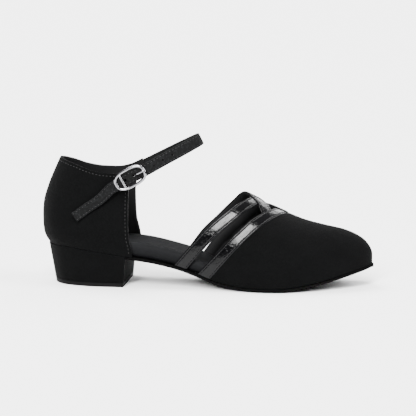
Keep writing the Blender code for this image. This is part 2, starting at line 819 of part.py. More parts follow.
def make_prong(matrix, finish, collection, parent):
    """Hooked under its bar, up through the strap's hole, and down on the frame's front end."""
    reach = BAR / 2 + CLEAR / 2 + PRONG / 2
    hook = [radians(a) for a in (185, 220, 255, 290, 325)]
    line = [(BAR_PLACE + reach * cos(a), 0, -BAR_DROP + reach * sin(a)) for a in hook]
    rest = FRAME_RISE + WIRE / 2 + CLEAR + PRONG / 2
    end = BUCKLE_LENGTH / 2
    line += [(PRONG_HOLE + HOLE * past, 0, STRAP_THICK * height) for past, height in PRONG_RISE]
    line += [(end - 1.5 * WIRE, 0, rest), (end - WIRE / 2, 0, rest), (end, 0, rest - CLEAR)]
    return wire("buckle_prong", line, PRONG, False, finish, collection, parent, matrix)


def make_tab(route, matrix, finish, collection, cutters, parent):
    """Leather tab sewn to the quarter, folded round the prong's bar and back on itself."""
    _, _, buckle = route
    turn = BAR / 2 + CLEAR + TAB_THICK / 2

    def laid(back, stand):
        here = strap_frame(route, buckle + back)[0]
        return on_quarter(here.x, here.z, stand)

    low = CLEAR + TAB_THICK / 2 + TAB_REST
    line = [laid(BUCKLE_LENGTH * back, low) for back in TAB_LAID]
    for angle in (255, 290, 325, 0, 35, 70, 100):
        a = radians(angle)
        line.append(matrix @ Vector((BAR_PLACE + turn * cos(a), 0, -BAR_DROP + turn * sin(a))))
    line += [matrix @ Vector((BAR_PLACE - 2 * turn, 0, -BAR_DROP + turn * 0.8))]
    line += [laid(BUCKLE_LENGTH * TAB_RETURN, low + TAB_THICK + CLEAR + TAB_REST)]
    up = matrix.to_3x3().col[1]
    made = ribbon("buckle_tab", [(p, up) for p in line], [TAB_WIDTH] * len(line), TAB_THICK,
                  finish, collection, parent)
    reach = BAR / 2 + CLEAR + TAB_THICK + PRONG
    slot = cutter(
        "prong_slot",
        lambda bm: bmesh.ops.create_cube(bm, size=1),
        matrix @ Matrix.Translation((BAR_PLACE, 0, -BAR_DROP)) @ Matrix.Diagonal(
            (2 * reach, PRONG_SLOT, 2 * reach, 1)),
        cutters, parent)
    cut(made, slot)
    return made


def clear_scene():
    for old in list(bpy.data.objects):
        bpy.data.objects.remove(old)


def main():
    clear_scene()
    collection = bpy.data.collections.new("ballroom_shoe")
    cutters = bpy.data.collections.new("cutters")
    bpy.context.scene.collection.children.link(collection)
    bpy.context.scene.collection.children.link(cutters)
    last = bpy.data.objects.new("last", None)
    last.location = (-(heel_foot(0) + heel_foot(1)) / 2, 0, 0)
    collection.objects.link(last)
    suede = material("black_suede", (0.012, 0.012, 0.013), 0.95)
    patent = material("black_patent", (0.006, 0.006, 0.007), 0.12)
    lining = material("insole_lining", (0.03, 0.03, 0.033), 0.8)
    leather = material("sole_leather", (0.02, 0.02, 0.02), 0.7)
    rubber = material("lift_rubber", (0.015, 0.015, 0.015), 0.85)
    chrome = material("bright_chrome", (0.78, 0.78, 0.8), 0.12, 1.0)
    make_outsole(leather, collection, last)
    make_heel(suede, rubber, collection, last)
    make_insole(lining, collection, last)
    make_quarter(suede, collection, last)
    make_vamp(suede, collection, last)
    make_binding(patent, collection, last)
    make_cross_straps(patent, collection, last)
    route = strap_route()
    matrix = frame_matrix(*strap_frame(route, route[2]))
    make_ankle_strap(route, suede, collection, cutters, last)
    make_tab(route, matrix, suede, collection, cutters, last)
    make_buckle(matrix, chrome, collection, last)
    make_prong(matrix, chrome, collection, last)


main()
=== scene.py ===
"""Ballroom dance shoe for the right foot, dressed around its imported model."""
from bisect import bisect_right
from functools import partial
from math import acos, cos, pi, radians, sin, tanh

import bmesh
import bpy
import numpy as np
from bpy.props import FloatProperty, FloatVectorProperty, PointerProperty
from bpy.types import Operator, Panel, PropertyGroup
from mathutils import Matrix, Vector


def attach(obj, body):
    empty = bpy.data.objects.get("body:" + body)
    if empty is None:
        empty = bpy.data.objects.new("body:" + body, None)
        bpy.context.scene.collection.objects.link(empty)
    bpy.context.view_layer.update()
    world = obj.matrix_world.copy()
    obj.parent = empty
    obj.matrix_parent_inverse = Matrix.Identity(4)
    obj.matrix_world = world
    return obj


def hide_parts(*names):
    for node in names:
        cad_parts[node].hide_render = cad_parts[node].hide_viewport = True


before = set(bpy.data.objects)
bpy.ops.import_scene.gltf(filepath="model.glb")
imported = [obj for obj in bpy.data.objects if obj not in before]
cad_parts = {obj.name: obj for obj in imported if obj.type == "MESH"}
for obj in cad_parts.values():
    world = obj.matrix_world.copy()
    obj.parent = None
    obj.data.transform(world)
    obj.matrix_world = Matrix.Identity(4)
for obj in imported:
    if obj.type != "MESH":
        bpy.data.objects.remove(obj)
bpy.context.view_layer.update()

bl_info = {
    "name": "Ballroom dance shoe",
    "version": (1, 0, 0),
    "blender": (4, 5, 0),
    "location": "3D View > Sidebar > Shoe",
    "description": "Builds a suede and patent ballroom dance shoe, piece by piece",
    "category": "Add Mesh",
}

# Driving sizes of the last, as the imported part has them
LENGTH = 0.249
BALL_WIDTH = 0.0745
SEAT_HEIGHT = 0.0294
TOE_SPRING = 0.0147
INSTEP_HEIGHT = 0.066
QUARTER_TOP = 0.0946
BACK_CURVE = 0.0137
SEAT_INSET = 0.0046
RIDGE_SIDE = 0.004
END_ROUND = 0.012
TIP_SIDE = 0.004

# Walls and layers
SOLE = 0.0026
SKIVE = 0.0012
LIP = 0.001
CLEAR = 0.0003
QUARTER_WALL = 0.0022
VAMP_WALL = 0.0016
INSOLE_HEEL = 0.0095
INSOLE_WAIST = 0.0108
INSOLE_BALL = 0.0048
INSOLE_TOE = 0.0032

# Heel
LIFT = 0.003
HEEL_BREAST = 0.0645
BREAST_LEAN = 0.002
HEEL_TAPER = 0.0052
HEEL_SIDE_TAPER = 0.0012
COVER_ROUND = 0.0005
LIFT_ROUND = 0.0003

# Instep straps, in metres; only OVERPASS_REACH and CROSSED_TO are in v, from 0, the ridge, to 1, the sole
BAND = 0.0088
BAND_RIDGE = 0.0076
BAND_THICK = 0.0015
BINDING_THICK = 0.0021
BINDING_PROUD = 0.0005
OVERPASS = 0.0012
OVERPASS_REACH = 0.3
CROSSED_TO = 0.35
BAND_LEAST = 0.0012
BINDING_TUCK = 0.002
THROAT_TUCK = 0.0012

# Ankle strap and buckle
STRAP = 0.009
STRAP_TAIL = 0.0076
STRAP_THICK = 0.0018
STRAP_CROWN = 0.0002
STRAP_REST = 0.0003
TAIL_NARROWS = 1.5
STRAP_SLOPE = radians(27)
HOLE = 0.002
HOLE_STEP = 0.008
HOLE_TALL = 1.1
HOLES_FORE = 4
HOLES_TAIL = 2
TAB_THICK = 0.001
TAB_WIDTH = 0.0076
TAB_REST = 0.0002
BUCKLE_LENGTH = 0.0254
BUCKLE_WIDTH = 0.015
BUCKLE_OVAL = 2.7
WIRE = 0.0022
BAR = 0.0014
BAR_PLACE = -0.0025
KEEPER_PLACE = -0.0064
PRONG = 0.0013
PRONG_HOLE = 0.0035
PRONG_HOLE_STRETCH = 1.9
PRONG_SLOT = 0.0022

# How far the strap stands off the quarter, and the buckle's frame and bar over and under the strap's middle
LEAVES = 2 * TAB_THICK + 2 * CLEAR + BAR + 2 * CLEAR
STAND_LOW = CLEAR + STRAP_THICK / 2 + STRAP_REST
STAND_HIGH = CLEAR + LEAVES + CLEAR + STRAP_THICK / 2 + STRAP_REST
FRAME_RISE = STRAP_THICK / 2 + CLEAR + WIRE / 2
BAR_DROP = STRAP_THICK / 2 + CLEAR + TAB_THICK + CLEAR + BAR / 2

# Half section of a strap's face: a rolled bead at the edge, then the seam's groove. GROOVE_STEP is the
# step at the groove's bottom.
BEAD = 0.00045
BEAD_DROP = 0.0004
GROOVE = 0.0002
STRAP_STEPS = (
    0.0, 0.0001, 0.00026, 0.00045, 0.0008, 0.001, 0.00112, 0.0013, 0.00148, 0.0016, 0.0019, 0.0025)
GROOVE_STEP = 7

# Columns of a strap's faces that take the matt lining finish: its inside, which is lined, and the two seam
# grooves, where the dark matt lining is painted shade
STRAP_FACE = 2 * len(STRAP_STEPS)
STRAP_LINING_AND_GROOVE_SHADE = (
    GROOVE_STEP - 1, GROOVE_STEP, STRAP_FACE - GROOVE_STEP - 1, STRAP_FACE - GROOVE_STEP,
    *range(STRAP_FACE + 1, STRAP_FACE + 5))

# Seams: the thread's rise, the quarter's seams from their edges, where the topline's ends before the front
# edge, and where the front edges' begin and end in height
SEAM_RISE = 0.00002
QUARTER_SEAM = 0.0021
TOPLINE_SEAM_TO = 0.965
FRONT_SEAM = (0.03, 0.93)

# Padding: how far the insole's middle lies under its sides, as a share, and where its top is divided
INSOLE_HOLLOW = 0.04
INSOLE_TOP = (0.12, 0.3, 0.55, 0.8)

# Rounding of cut edges
SOFT_SEGMENTS = 3
SOFT_ANGLE = radians(50)

# Short steps that show a direction, in metres along the shoe or a strap, then in v or a share across
STEP = 0.0006
SHORT_STEP = 0.0004
EDGE_STEP = 0.001
V_STEP = 0.012
SHARE_STEP = 0.01

# How finely the pieces are divided
SOLE_ROWS = 90
HEEL_ROWS = 64
HEEL_LEVELS = 9
INSOLE_ROWS = 110
QUARTER_COLUMNS = 56
QUARTER_LEVELS = 44
VAMP_COLUMNS = 97
VAMP_ROWS = 64
BINDING_ROWS = 150
CROSSED_ROWS = 110
ANKLE_ROWS = 210
SEAM_POINTS = 40
RING_POINTS = 96
BAR_POINTS = 40
PRONG_POINTS = 48
TAB_POINTS = 70

# Outline of the sole: share of the sole's length, then lateral and medial edge as shares of BALL_WIDTH
OUTLINE = (
    (0.00, 0.000, 0.000), (0.02, 0.168, 0.168), (0.05, 0.255, 0.255), (0.10, 0.315, 0.315),
    (0.16, 0.345, 0.345), (0.235, 0.349, 0.342), (0.30, 0.336, 0.308), (0.40, 0.332, 0.282),
    (0.48, 0.362, 0.305), (0.55, 0.408, 0.375), (0.62, 0.452, 0.455), (0.68, 0.472, 0.508),
    (0.73, 0.462, 0.528), (0.78, 0.427, 0.514), (0.84, 0.370, 0.454), (0.90, 0.292, 0.372),
    (0.95, 0.205, 0.280), (0.98, 0.130, 0.184), (1.00, 0.000, 0.000),
)

# Underside of the sole: share of LENGTH, share of the seat's rise, share of TOE_SPRING
PROFILE = (
    (0.00, 1.000, 0.00), (0.07, 0.995, 0.00), (0.14, 0.930, 0.00), (0.21, 0.840, 0.00),
    (0.27, 0.765, 0.00), (0.33, 0.690, 0.00), (0.38, 0.600, 0.00), (0.43, 0.482, 0.00),
    (0.48, 0.330, 0.00), (0.53, 0.170, 0.00), (0.58, 0.070, 0.00), (0.63, 0.015, 0.00),
    (0.66, 0.000, 0.00), (0.72, 0.000, 0.00), (0.79, 0.000, 0.13), (0.86, 0.000, 0.37),
    (0.92, 0.000, 0.63), (0.97, 0.000, 0.86), (1.00, 0.000, 1.00),
)

# Fore part of the upper: share of length, ridge height as a share of INSTEP_HEIGHT, how full the side
# is, how far it bulges, how full the top is, and the ridge's place to the inner side over RIDGE_SIDE
FOREPART = (
    (0.34, 1.590, 0.56, 0.05, 0.46, 0.70), (0.44, 1.400, 0.58, 0.05, 0.48, 0.70),
    (0.50, 1.275, 0.60, 0.05, 0.50, 0.70), (0.56, 1.150, 0.60, 0.05, 0.52, 0.70),
    (0.60, 1.070, 0.61, 0.05, 0.52, 0.70), (0.64, 1.000, 0.62, 0.05, 0.52, 0.70),
    (0.68, 0.925, 0.62, 0.06, 0.52, 0.72), (0.72, 0.862, 0.62, 0.06, 0.53, 0.75),
    (0.75, 0.812, 0.61, 0.07, 0.53, 0.78), (0.80, 0.742, 0.60, 0.08, 0.54, 0.82),
    (0.86, 0.688, 0.58, 0.08, 0.57, 0.88), (0.91, 0.648, 0.56, 0.08, 0.60, 0.92),
    (0.95, 0.590, 0.55, 0.08, 0.63, 0.96), (0.975, 0.530, 0.54, 0.08, 0.66, 0.98),
    (0.99, 0.465, 0.54, 0.08, 0.66, 1.00), (1.00, 0.360, 0.55, 0.08, 0.60, 1.00),
)

# Back of the quarter: share of its height, share of BACK_CURVE, width as a share of the seat's
BACK = (
    (0.00, 0.390, 1.000), (0.06, 0.190, 1.030), (0.13, 0.060, 1.050),
    (0.24, 0.005, 1.050), (0.34, 0.000, 1.030), (0.47, 0.045, 0.995),
    (0.67, 0.315, 0.940), (0.87, 0.710, 0.885), (1.00, 1.000, 0.850),
)

# Front edges of the quarter: share of its height, lateral and medial edge as shares of LENGTH
FRONT_EDGE = (
    (0.00, 0.2870, 0.2870), (0.10, 0.2850, 0.2850), (0.20, 0.2790, 0.2800),
    (0.33, 0.2765, 0.2715), (0.48, 0.2755, 0.2695), (0.64, 0.2755, 0.2690),
    (0.74, 0.2760, 0.2720), (0.80, 0.2760, 0.2820), (0.86, 0.2760, 0.3110),
    (0.94, 0.2745, 0.2997), (1.00, 0.2690, 0.2913),
)

# Topline: share of the way from the back to the front edge, lateral and medial shares of QUARTER_TOP
TOPLINE = (
    (0.00, 1.000, 1.000), (0.12, 0.985, 0.970), (0.30, 0.955, 0.925), (0.50, 0.918, 0.902),
    (0.68, 0.900, 0.898), (0.84, 0.896, 0.917), (1.00, 0.890, 0.963),
)

# Middle lines of the instep straps: v on the fore part, then share of LENGTH. The binding runs from the
# lateral to the medial sole edge, and the crossing straps start at their own side's, at v = -1.
BINDING_PATH = (
    (-1.00, 0.502), (-0.70, 0.573), (-0.45, 0.637), (-0.25, 0.686), (-0.10, 0.716), (0.00, 0.728),
    (0.10, 0.700), (0.275, 0.648), (0.49, 0.590), (0.70, 0.536), (0.85, 0.505), (1.00, 0.478),
)
LATERAL_PATH = (
    (-1.00, 0.430), (-0.60, 0.521), (-0.33, 0.592), (-0.20, 0.623),
    (-0.10, 0.643), (0.00, 0.660), (0.12, 0.680), (0.35, 0.712),
)
MEDIAL_PATH = (
    (-1.00, 0.432), (-0.87, 0.458), (-0.70, 0.490), (-0.50, 0.536), (-0.27, 0.587),
    (-0.10, 0.620), (0.00, 0.645), (0.10, 0.671), (0.20, 0.687), (0.35, 0.704),
)

# Middle line of the ankle strap from the inner side round the front: shares of LENGTH, BALL_WIDTH
# and QUARTER_TOP
LOOP_ROUTE = (
    (0.335, 0.275, 0.957), (0.379, 0.238, 1.017), (0.427, 0.170, 1.083),
    (0.459, 0.102, 1.126), (0.4765, 0.042, 1.149), (0.4790, 0.000, 1.152),
    (0.4765, -0.042, 1.147), (0.459, -0.116, 1.121), (0.427, -0.204, 1.076),
    (0.379, -0.300, 1.010),
)

# Its outer side and tail: shares of LENGTH and QUARTER_TOP, then how far it stands off the quarter,
# from 0, lying on it, to 1, over the buckle's bar
TAIL_ROUTE = (
    (0.336, 0.948, 1.00), (0.287, 0.880, 1.00), (0.256, 0.833, 0.90), (0.226, 0.782, 0.55),
    (0.194, 0.702, 0.24), (0.150, 0.620, 0.06), (0.1165, 0.555, 0.30),
)
BUCKLE_ROW = 1

# Sections. The insole's half section: inset from its outline, share of its thickness.
INSOLE_EDGE = (
    (0.0022, 0.00), (0.0007, 0.08), (0.0001, 0.28), (0.0000, 0.50),
    (0.0002, 0.70), (0.0010, 0.86), (0.0024, 0.955), (0.0044, 1.00),
)

# Soft troughs pressed into the vamp by the foot's bend: v and share of length of one end and the
# other, depth, and width, in metres. HALF_GIRTH turns v into metres. The rim beside a trough stands up by
# a share of its depth, a trough fades towards FOLD_ENDS, and none lies nearer to the toe than FOLDS_TO.
VAMP_FOLDS = (
    (-0.86, 0.700, -0.34, 0.765, 0.00035, 0.0045), (-0.62, 0.760, -0.20, 0.790, 0.00022, 0.0040),
    (0.84, 0.690, 0.36, 0.760, 0.00035, 0.0045), (0.60, 0.755, 0.22, 0.788, 0.00022, 0.0040),
)
HALF_GIRTH = 0.06
FOLD_RIM = 0.6
FOLD_ENDS = (0.12, 0.88)
FOLDS_TO = 0.95

# Lamps: height and way round from straight in front, in degrees, towards the toe
FRONT_LIGHTS = ((26, -15), (38, -6), (50, 4))
BACK_LIGHTS = ((33, 165), (50, 150))
SIDE_LIGHTS = ((34, 86),)
HIGH_LIGHTS = ((64, -130),)

# The photograph's view: 416 pixels square, its focal length in pixels, and the camera's place
PHOTO_PIXELS = 416
FOCAL_PIXELS = 1883
SENSOR = 36.0
CAMERA_PLACE = (0.25742, -1.37959, 0.27717)
CAMERA_AZIMUTH = radians(7)
CAMERA_ELEVATION = radians(9)
VIEW_END = 60

# Floor, and the room's grey by height, from straight down to straight up
FLOOR_RADIUS = 16
ROOM_GREYS = ((0.0, 0.05), (0.22, 0.05), (0.40, 0.25), (0.65, 0.60), (0.90, 0.90))

# Points inside the fore part and inside the quarter, which their outer faces look away from
FORE_MIDDLE = Vector((LENGTH * 0.62, 0, INSTEP_HEIGHT * 0.3))
QUARTER_MIDDLE = Vector((LENGTH * 0.15, 0, QUARTER_TOP * 0.6))


class Curve:
    """Monotone curve through one column of a table; rounded ends suit an outline that closes."""

    def __init__(self, rows, column=1, rounded=False):
        self.first, self.last, self.rounded = rows[0][0], rows[-1][0], rounded
        self.knots = [self.place(row[0]) for row in rows]
        self.values = [row[column] for row in rows]
        steps = np.diff(self.knots)
        rises = np.diff(self.values) / steps
        self.slopes = [rises[0]]
        for before, after, left, right in zip(rises[:-1], rises[1:], steps[:-1], steps[1:]):
            if before * after <= 0:
                self.slopes.append(0.0)
            else:
                near, far = 2 * right + left, right + 2 * left
                self.slopes.append((near + far) / (near / before + far / after))
        self.slopes.append(rises[-1])

    def place(self, share):
        share = min(max(share, self.first), self.last)
        return acos(1 - 2 * share) if self.rounded else share

    def __call__(self, share):
        here = self.place(share)
        i = min(max(bisect_right(self.knots, here) - 1, 0), len(self.knots) - 2)
        step = self.knots[i + 1] - self.knots[i]
        u = (here - self.knots[i]) / step
        low = self.values[i] * (1 + 2 * u) * (1 - u) ** 2 + self.values[i + 1] * u * u * (3 - 2 * u)
        return low + step * (self.slopes[i] * u * (1 - u) ** 2 - self.slopes[i + 1] * u * u * (1 - u))


SIDES = {-1: 1, 1: 2}
outline_at = {side: Curve(OUTLINE, column, rounded=True) for side, column in SIDES.items()}
front_edge_at = {side: Curve(FRONT_EDGE, column) for side, column in SIDES.items()}
topline_at = {side: Curve(TOPLINE, column) for side, column in SIDES.items()}
seat_rise_at, toe_rise_at = Curve(PROFILE, 1), Curve(PROFILE, 2)
toe_swing_at = Curve(((0.0, 0.0), (0.75, 0.0), (1.0, 1.0)))
ridge_height_at = Curve(FOREPART, 1, rounded=True)
side_full_at, bulge_at, top_full_at, ridge_side_at = (Curve(FOREPART, c) for c in (2, 3, 4, 5))
back_lean_at, back_width_at = Curve(BACK, 1), Curve(BACK, 2)
insole_at = Curve((
    (0.00, INSOLE_HEEL), (0.22, INSOLE_HEEL), (0.33, INSOLE_WAIST), (0.44, INSOLE_WAIST),
    (0.62, INSOLE_BALL), (0.80, INSOLE_BALL), (1.00, INSOLE_TOE),
))
ORIGIN = (SEAT_INSET + HEEL_TAPER + HEEL_BREAST) / 2


def underside(x):
    """Height of the outsole's underside."""
    return seat_rise_at(x / LENGTH) * (SEAT_HEIGHT - SOLE) + toe_rise_at(x / LENGTH) * TOE_SPRING


def seat(x):
    """Height of the outsole's and the heel's top."""
    return underside(x) + SOLE


def edge(x, side, inset=0.0):
    """Side edge of the sole at x, drawn in by inset; side is -1 lateral and 1 medial."""
    first, last = SEAT_INSET + inset, LENGTH - inset
    share = min(max((x - first) / (last - first), 0.0), 1.0)
    half = outline_at[side](share) * BALL_WIDTH
    if inset > 0:
        half -= inset * tanh(half / END_ROUND)
    return side * half + TIP_SIDE * toe_swing_at(share)


def stations(first, last, count, round_first=False, round_last=False):
    """Lengths from first to last, crowded towards an end that closes round."""
    shares = np.linspace(0, 1, count)
    if round_first and round_last:
        shares = (1 - np.cos(pi * shares)) / 2
    elif round_first:
        shares = 1 - np.cos(pi / 2 * shares)
    elif round_last:
        shares = np.sin(pi / 2 * shares)
    return [first + (last - first) * s for s in shares]


def forepart(x, v):
    """Outside of the upper's fore part; v runs from -1, lateral sole edge, by 0, ridge, to 1."""
    share = x / (LENGTH - LIP)
    foot_y = edge(x, -1 if v < 0 else 1, LIP)
    foot_z = seat(x) + CLEAR
    ridge_y = ridge_side_at(share) * RIDGE_SIDE
    ridge_z = ridge_height_at(share) * INSTEP_HEIGHT
    width, rise = foot_y - ridge_y, ridge_z - foot_z
    cage = np.array([
        (foot_y, foot_z),
        (foot_y + bulge_at(share) * width, foot_z + side_full_at(share) * rise),
        (ridge_y + top_full_at(share) * width, ridge_z),
        (ridge_y, ridge_z),
    ])
    u = np.linspace(0, 1, 41)[:, None]
    line = (1 - u) ** 3 * cage[0] + 3 * (1 - u) ** 2 * u * cage[1]
    line = line + 3 * (1 - u) * u * u * cage[2] + u ** 3 * cage[3]
    lengths = np.concatenate([[0], np.cumsum(np.hypot(*np.diff(line, axis=0).T))])
    want = (1 - abs(v)) * lengths[-1]
    return Vector((x, np.interp(want, lengths, line[:, 0]), np.interp(want, lengths, line[:, 1])))


def fore_frame(x, v):
    """Point on the fore part and the direction out of it."""
    here = forepart(x, v)
    lengthways = forepart(min(x + STEP, LENGTH - LIP), v) - forepart(x - STEP, v)
    low, high = max(v - V_STEP, -1), min(v + V_STEP, 1)
    across = forepart(x, high) - forepart(x, low)
    return here, across.cross(-lengthways).normalized()


def quarter_point(side, way, k):
    """Outside of the quarter; way runs from 0, the back, to 1, the front edge, and k is its height."""
    back_x = back_lean_at(k) * BACK_CURVE
    front_x = front_edge_at[side](k) * LENGTH
    x = back_x + (front_x - back_x) * way
    foot = seat(max(x, SEAT_INSET)) + CLEAR
    top = topline_at[side](way) * QUARTER_TOP
    y = edge(x - back_x + SEAT_INSET, side) * back_width_at(k)
    return Vector((x, y, foot + k * (top - foot)))


def band_width(v):
    return BAND_RIDGE + (BAND - BAND_RIDGE) * abs(v)


def band_edges(path, v, hand=1):
    """Rear and front edge of a strap at v, as lengths along the shoe; hand -1 mirrors its sides."""
    step = SHARE_STEP if v < 0 else -SHARE_STEP
    x = path(v) * LENGTH
    along = forepart(path(v + step) * LENGTH, (v + step) * hand) - forepart(x, v * hand)
    lengthways = forepart(x + EDGE_STEP, v * hand) - forepart(x - EDGE_STEP, v * hand)
    half = band_width(v) / 2 / sin(along.angle(lengthways))
    return x - half, x + half


def on_quarter(x, z, stand):
    """Point off the quarter's outer side, at length x and height z."""
    k = 0.8
    for _ in range(8):
        back_x = back_lean_at(k) * BACK_CURVE
        way = min((x - back_x) / (front_edge_at[-1](k) * LENGTH - back_x), 1.0)
        foot = seat(x) + CLEAR
        k = min(max((z - foot) / (topline_at[-1](way) * QUARTER_TOP - foot), 0.0), 1.0)
    side = quarter_point(-1, way, k)
    return Vector((x, side.y - stand, z))


class Route:
    """Middle line of the ankle strap, from the inner side round the front to the tail."""

    def __init__(self):
        low, high = quarter_point(1, 1, FRONT_EDGE[-3][0]), quarter_point(1, 1, 1)
        along = Vector((cos(STRAP_SLOPE), 0, sin(STRAP_SLOPE)))
        start = (low + high) / 2 + along * CLEAR
        start.y -= QUARTER_WALL / 2
        points = [start]
        points += [Vector((x * LENGTH, y * BALL_WIDTH, z * QUARTER_TOP)) for x, y, z in LOOP_ROUTE]
        for x, z, share in TAIL_ROUTE:
            stand = STAND_LOW + (STAND_HIGH - STAND_LOW) * share
            points.append(on_quarter(x * LENGTH, z * QUARTER_TOP, stand))
        places = [0.0]
        for near, far in zip(points[:-1], points[1:]):
            places.append(places[-1] + (far - near).length)
        rows = [(place, *point) for place, point in zip(places, points)]
        self.lines = [Curve(rows, column) for column in (1, 2, 3)]
        self.end = places[-1]
        self.buckle = places[1 + len(LOOP_ROUTE) + BUCKLE_ROW]

    def point(self, s):
        return Vector([line(s) for line in self.lines])

    def frame(self, s):
        """Point, direction to the tail, direction across upwards, and direction out."""
        ahead, behind = min(s + SHORT_STEP, self.end), max(s - SHORT_STEP, 0)
        along = (self.point(ahead) - self.point(behind)).normalized()
        up = Vector((-sin(STRAP_SLOPE), 0, cos(STRAP_SLOPE)))
        up = (up - along * along.dot(up)).normalized()
        return self.point(s), along, up, up.cross(along)

    def width(self, s):
        share = max(0.0, (s - self.buckle) / (self.end - self.buckle))
        return STRAP + (STRAP_TAIL - STRAP) * min(1.0, share * TAIL_NARROWS)


tone = partial(FloatVectorProperty, subtype="COLOR", size=3, min=0, max=1)
distance = partial(FloatProperty, subtype="DISTANCE")
part_of_one = partial(FloatProperty, min=0, max=1)
strength = partial(FloatProperty, min=0)
angle_filled = partial(FloatProperty, subtype="ANGLE")


class ShoeSuede(PropertyGroup):
    """Suede of the vamp, quarter, heel cover and ankle strap."""

    colour: tone(name="Suede", description="Colour of the suede", default=(0.00085, 0.0009, 0.00095))
    nap_size: distance(name="Nap", description="Size of one tuft of the nap", default=0.0006)
    nap_depth: distance(name="Nap depth", description="Depth between the tufts", default=0.00022)
    brushed: distance(
        name="Brushed patches", description="Size of the patches where the nap lies one way", default=0.014)
    sheen: part_of_one(name="Sheen", description="Light caught by the nap", default=0.010)


class ShoePatent(PropertyGroup):
    """Patent leather of the instep straps."""

    colour: tone(name="Patent", description="Colour under the gloss", default=(0.0010, 0.0010, 0.0012))
    gloss: part_of_one(name="Roughness", description="Roughness of the varnish", default=0.07)
    ripple_size: distance(name="Ripple", description="Size of the varnish's ripples", default=0.0028)
    ripple_depth: distance(
        name="Ripple depth", description="Depth of the varnish's ripples", default=0.00021)
    crown: distance(
        name="Crown", description="How far a strap's middle stands over its edges", default=0.00011)


class ShoeStitching(PropertyGroup):
    """Thread and its place along the edges."""

    colour: tone(name="Thread", description="Colour of the thread on the suede", default=(0.0052,) * 3)
    dark: tone(name="Dark thread", description="Colour of the thread on the patent", default=(0.0025,) * 3)
    pitch: distance(name="Pitch", description="From one stitch to the next", default=0.0027)
    length: distance(name="Length", description="Length of one stitch", default=0.0015)
    thickness: distance(name="Thread size", description="Thickness of the thread", default=0.00044)
    inset: distance(name="From the edge", description="Seam to the edge beside it", default=0.0013)
    press: distance(name="Pressed in", description="How far a seam pulls its leather in", default=0.00028)


class ShoeBody(PropertyGroup):
    """Linings, sole, heel and buckle."""

    lining: tone(name="Lining", description="Colour of the lining", default=(0.0030, 0.0030, 0.0032))
    insole: tone(name="Insole", description="Colour of the padded insole", default=(0.0034, 0.0035, 0.0039))
    sole: tone(name="Sole", description="Colour of the sole leather", default=(0.0009,) * 3)
    rubber: tone(name="Rubber", description="Colour of the heel's lift", default=(0.0016,) * 3)
    chrome: tone(name="Chrome", description="Colour of the buckle", default=(0.21, 0.21, 0.22))
    edge_round: distance(name="Soft edge", description="Roundness of the leather's edges", default=0.0006)


class ShoeStage(PropertyGroup):
    """Floor and light."""

    floor: tone(name="Floor", description="Colour of the floor", default=(0.88,) * 3)
    front: strength(
        name="Front light", description="Strength of the strip of lamps in front", default=13.5)
    front_size: angle_filled(
        name="Front lamp", description="Angle that each lamp of the strip fills", default=radians(15))
    back: strength(name="Back light", description="Strength of the lamps behind", default=1.6)
    back_size: angle_filled(
        name="Back lamp", description="Angle that each lamp behind fills", default=radians(15))
    side: strength(
        name="Side light", description="Strength of the wide lamp at the toe's side", default=4.5)
    side_size: angle_filled(
        name="Side lamp", description="Angle that the lamp at the side fills", default=radians(32))
    high: strength(
        name="High light", description="Strength of the high lamp behind the heel", default=5.5)
    high_size: angle_filled(
        name="High lamp", description="Angle that the high lamp fills", default=radians(40))
    sky: strength(name="Sky", description="Strength of the room's light", default=1.0)


GROUPS = {
    "shoe_suede": ShoeSuede,
    "shoe_patent": ShoePatent,
    "shoe_stitching": ShoeStitching,
    "shoe_body": ShoeBody,
    "shoe_stage": ShoeStage,
}


def fill_ramp(node, stops):
    """Sets a colour ramp from rows of place and grey."""
    line = node.color_ramp.elements
    while len(line) < len(stops):
        line.new(0.5)
    for element, (place, grey) in zip(line, stops):
        element.position = place
        element.color = (grey, grey, grey, 1)


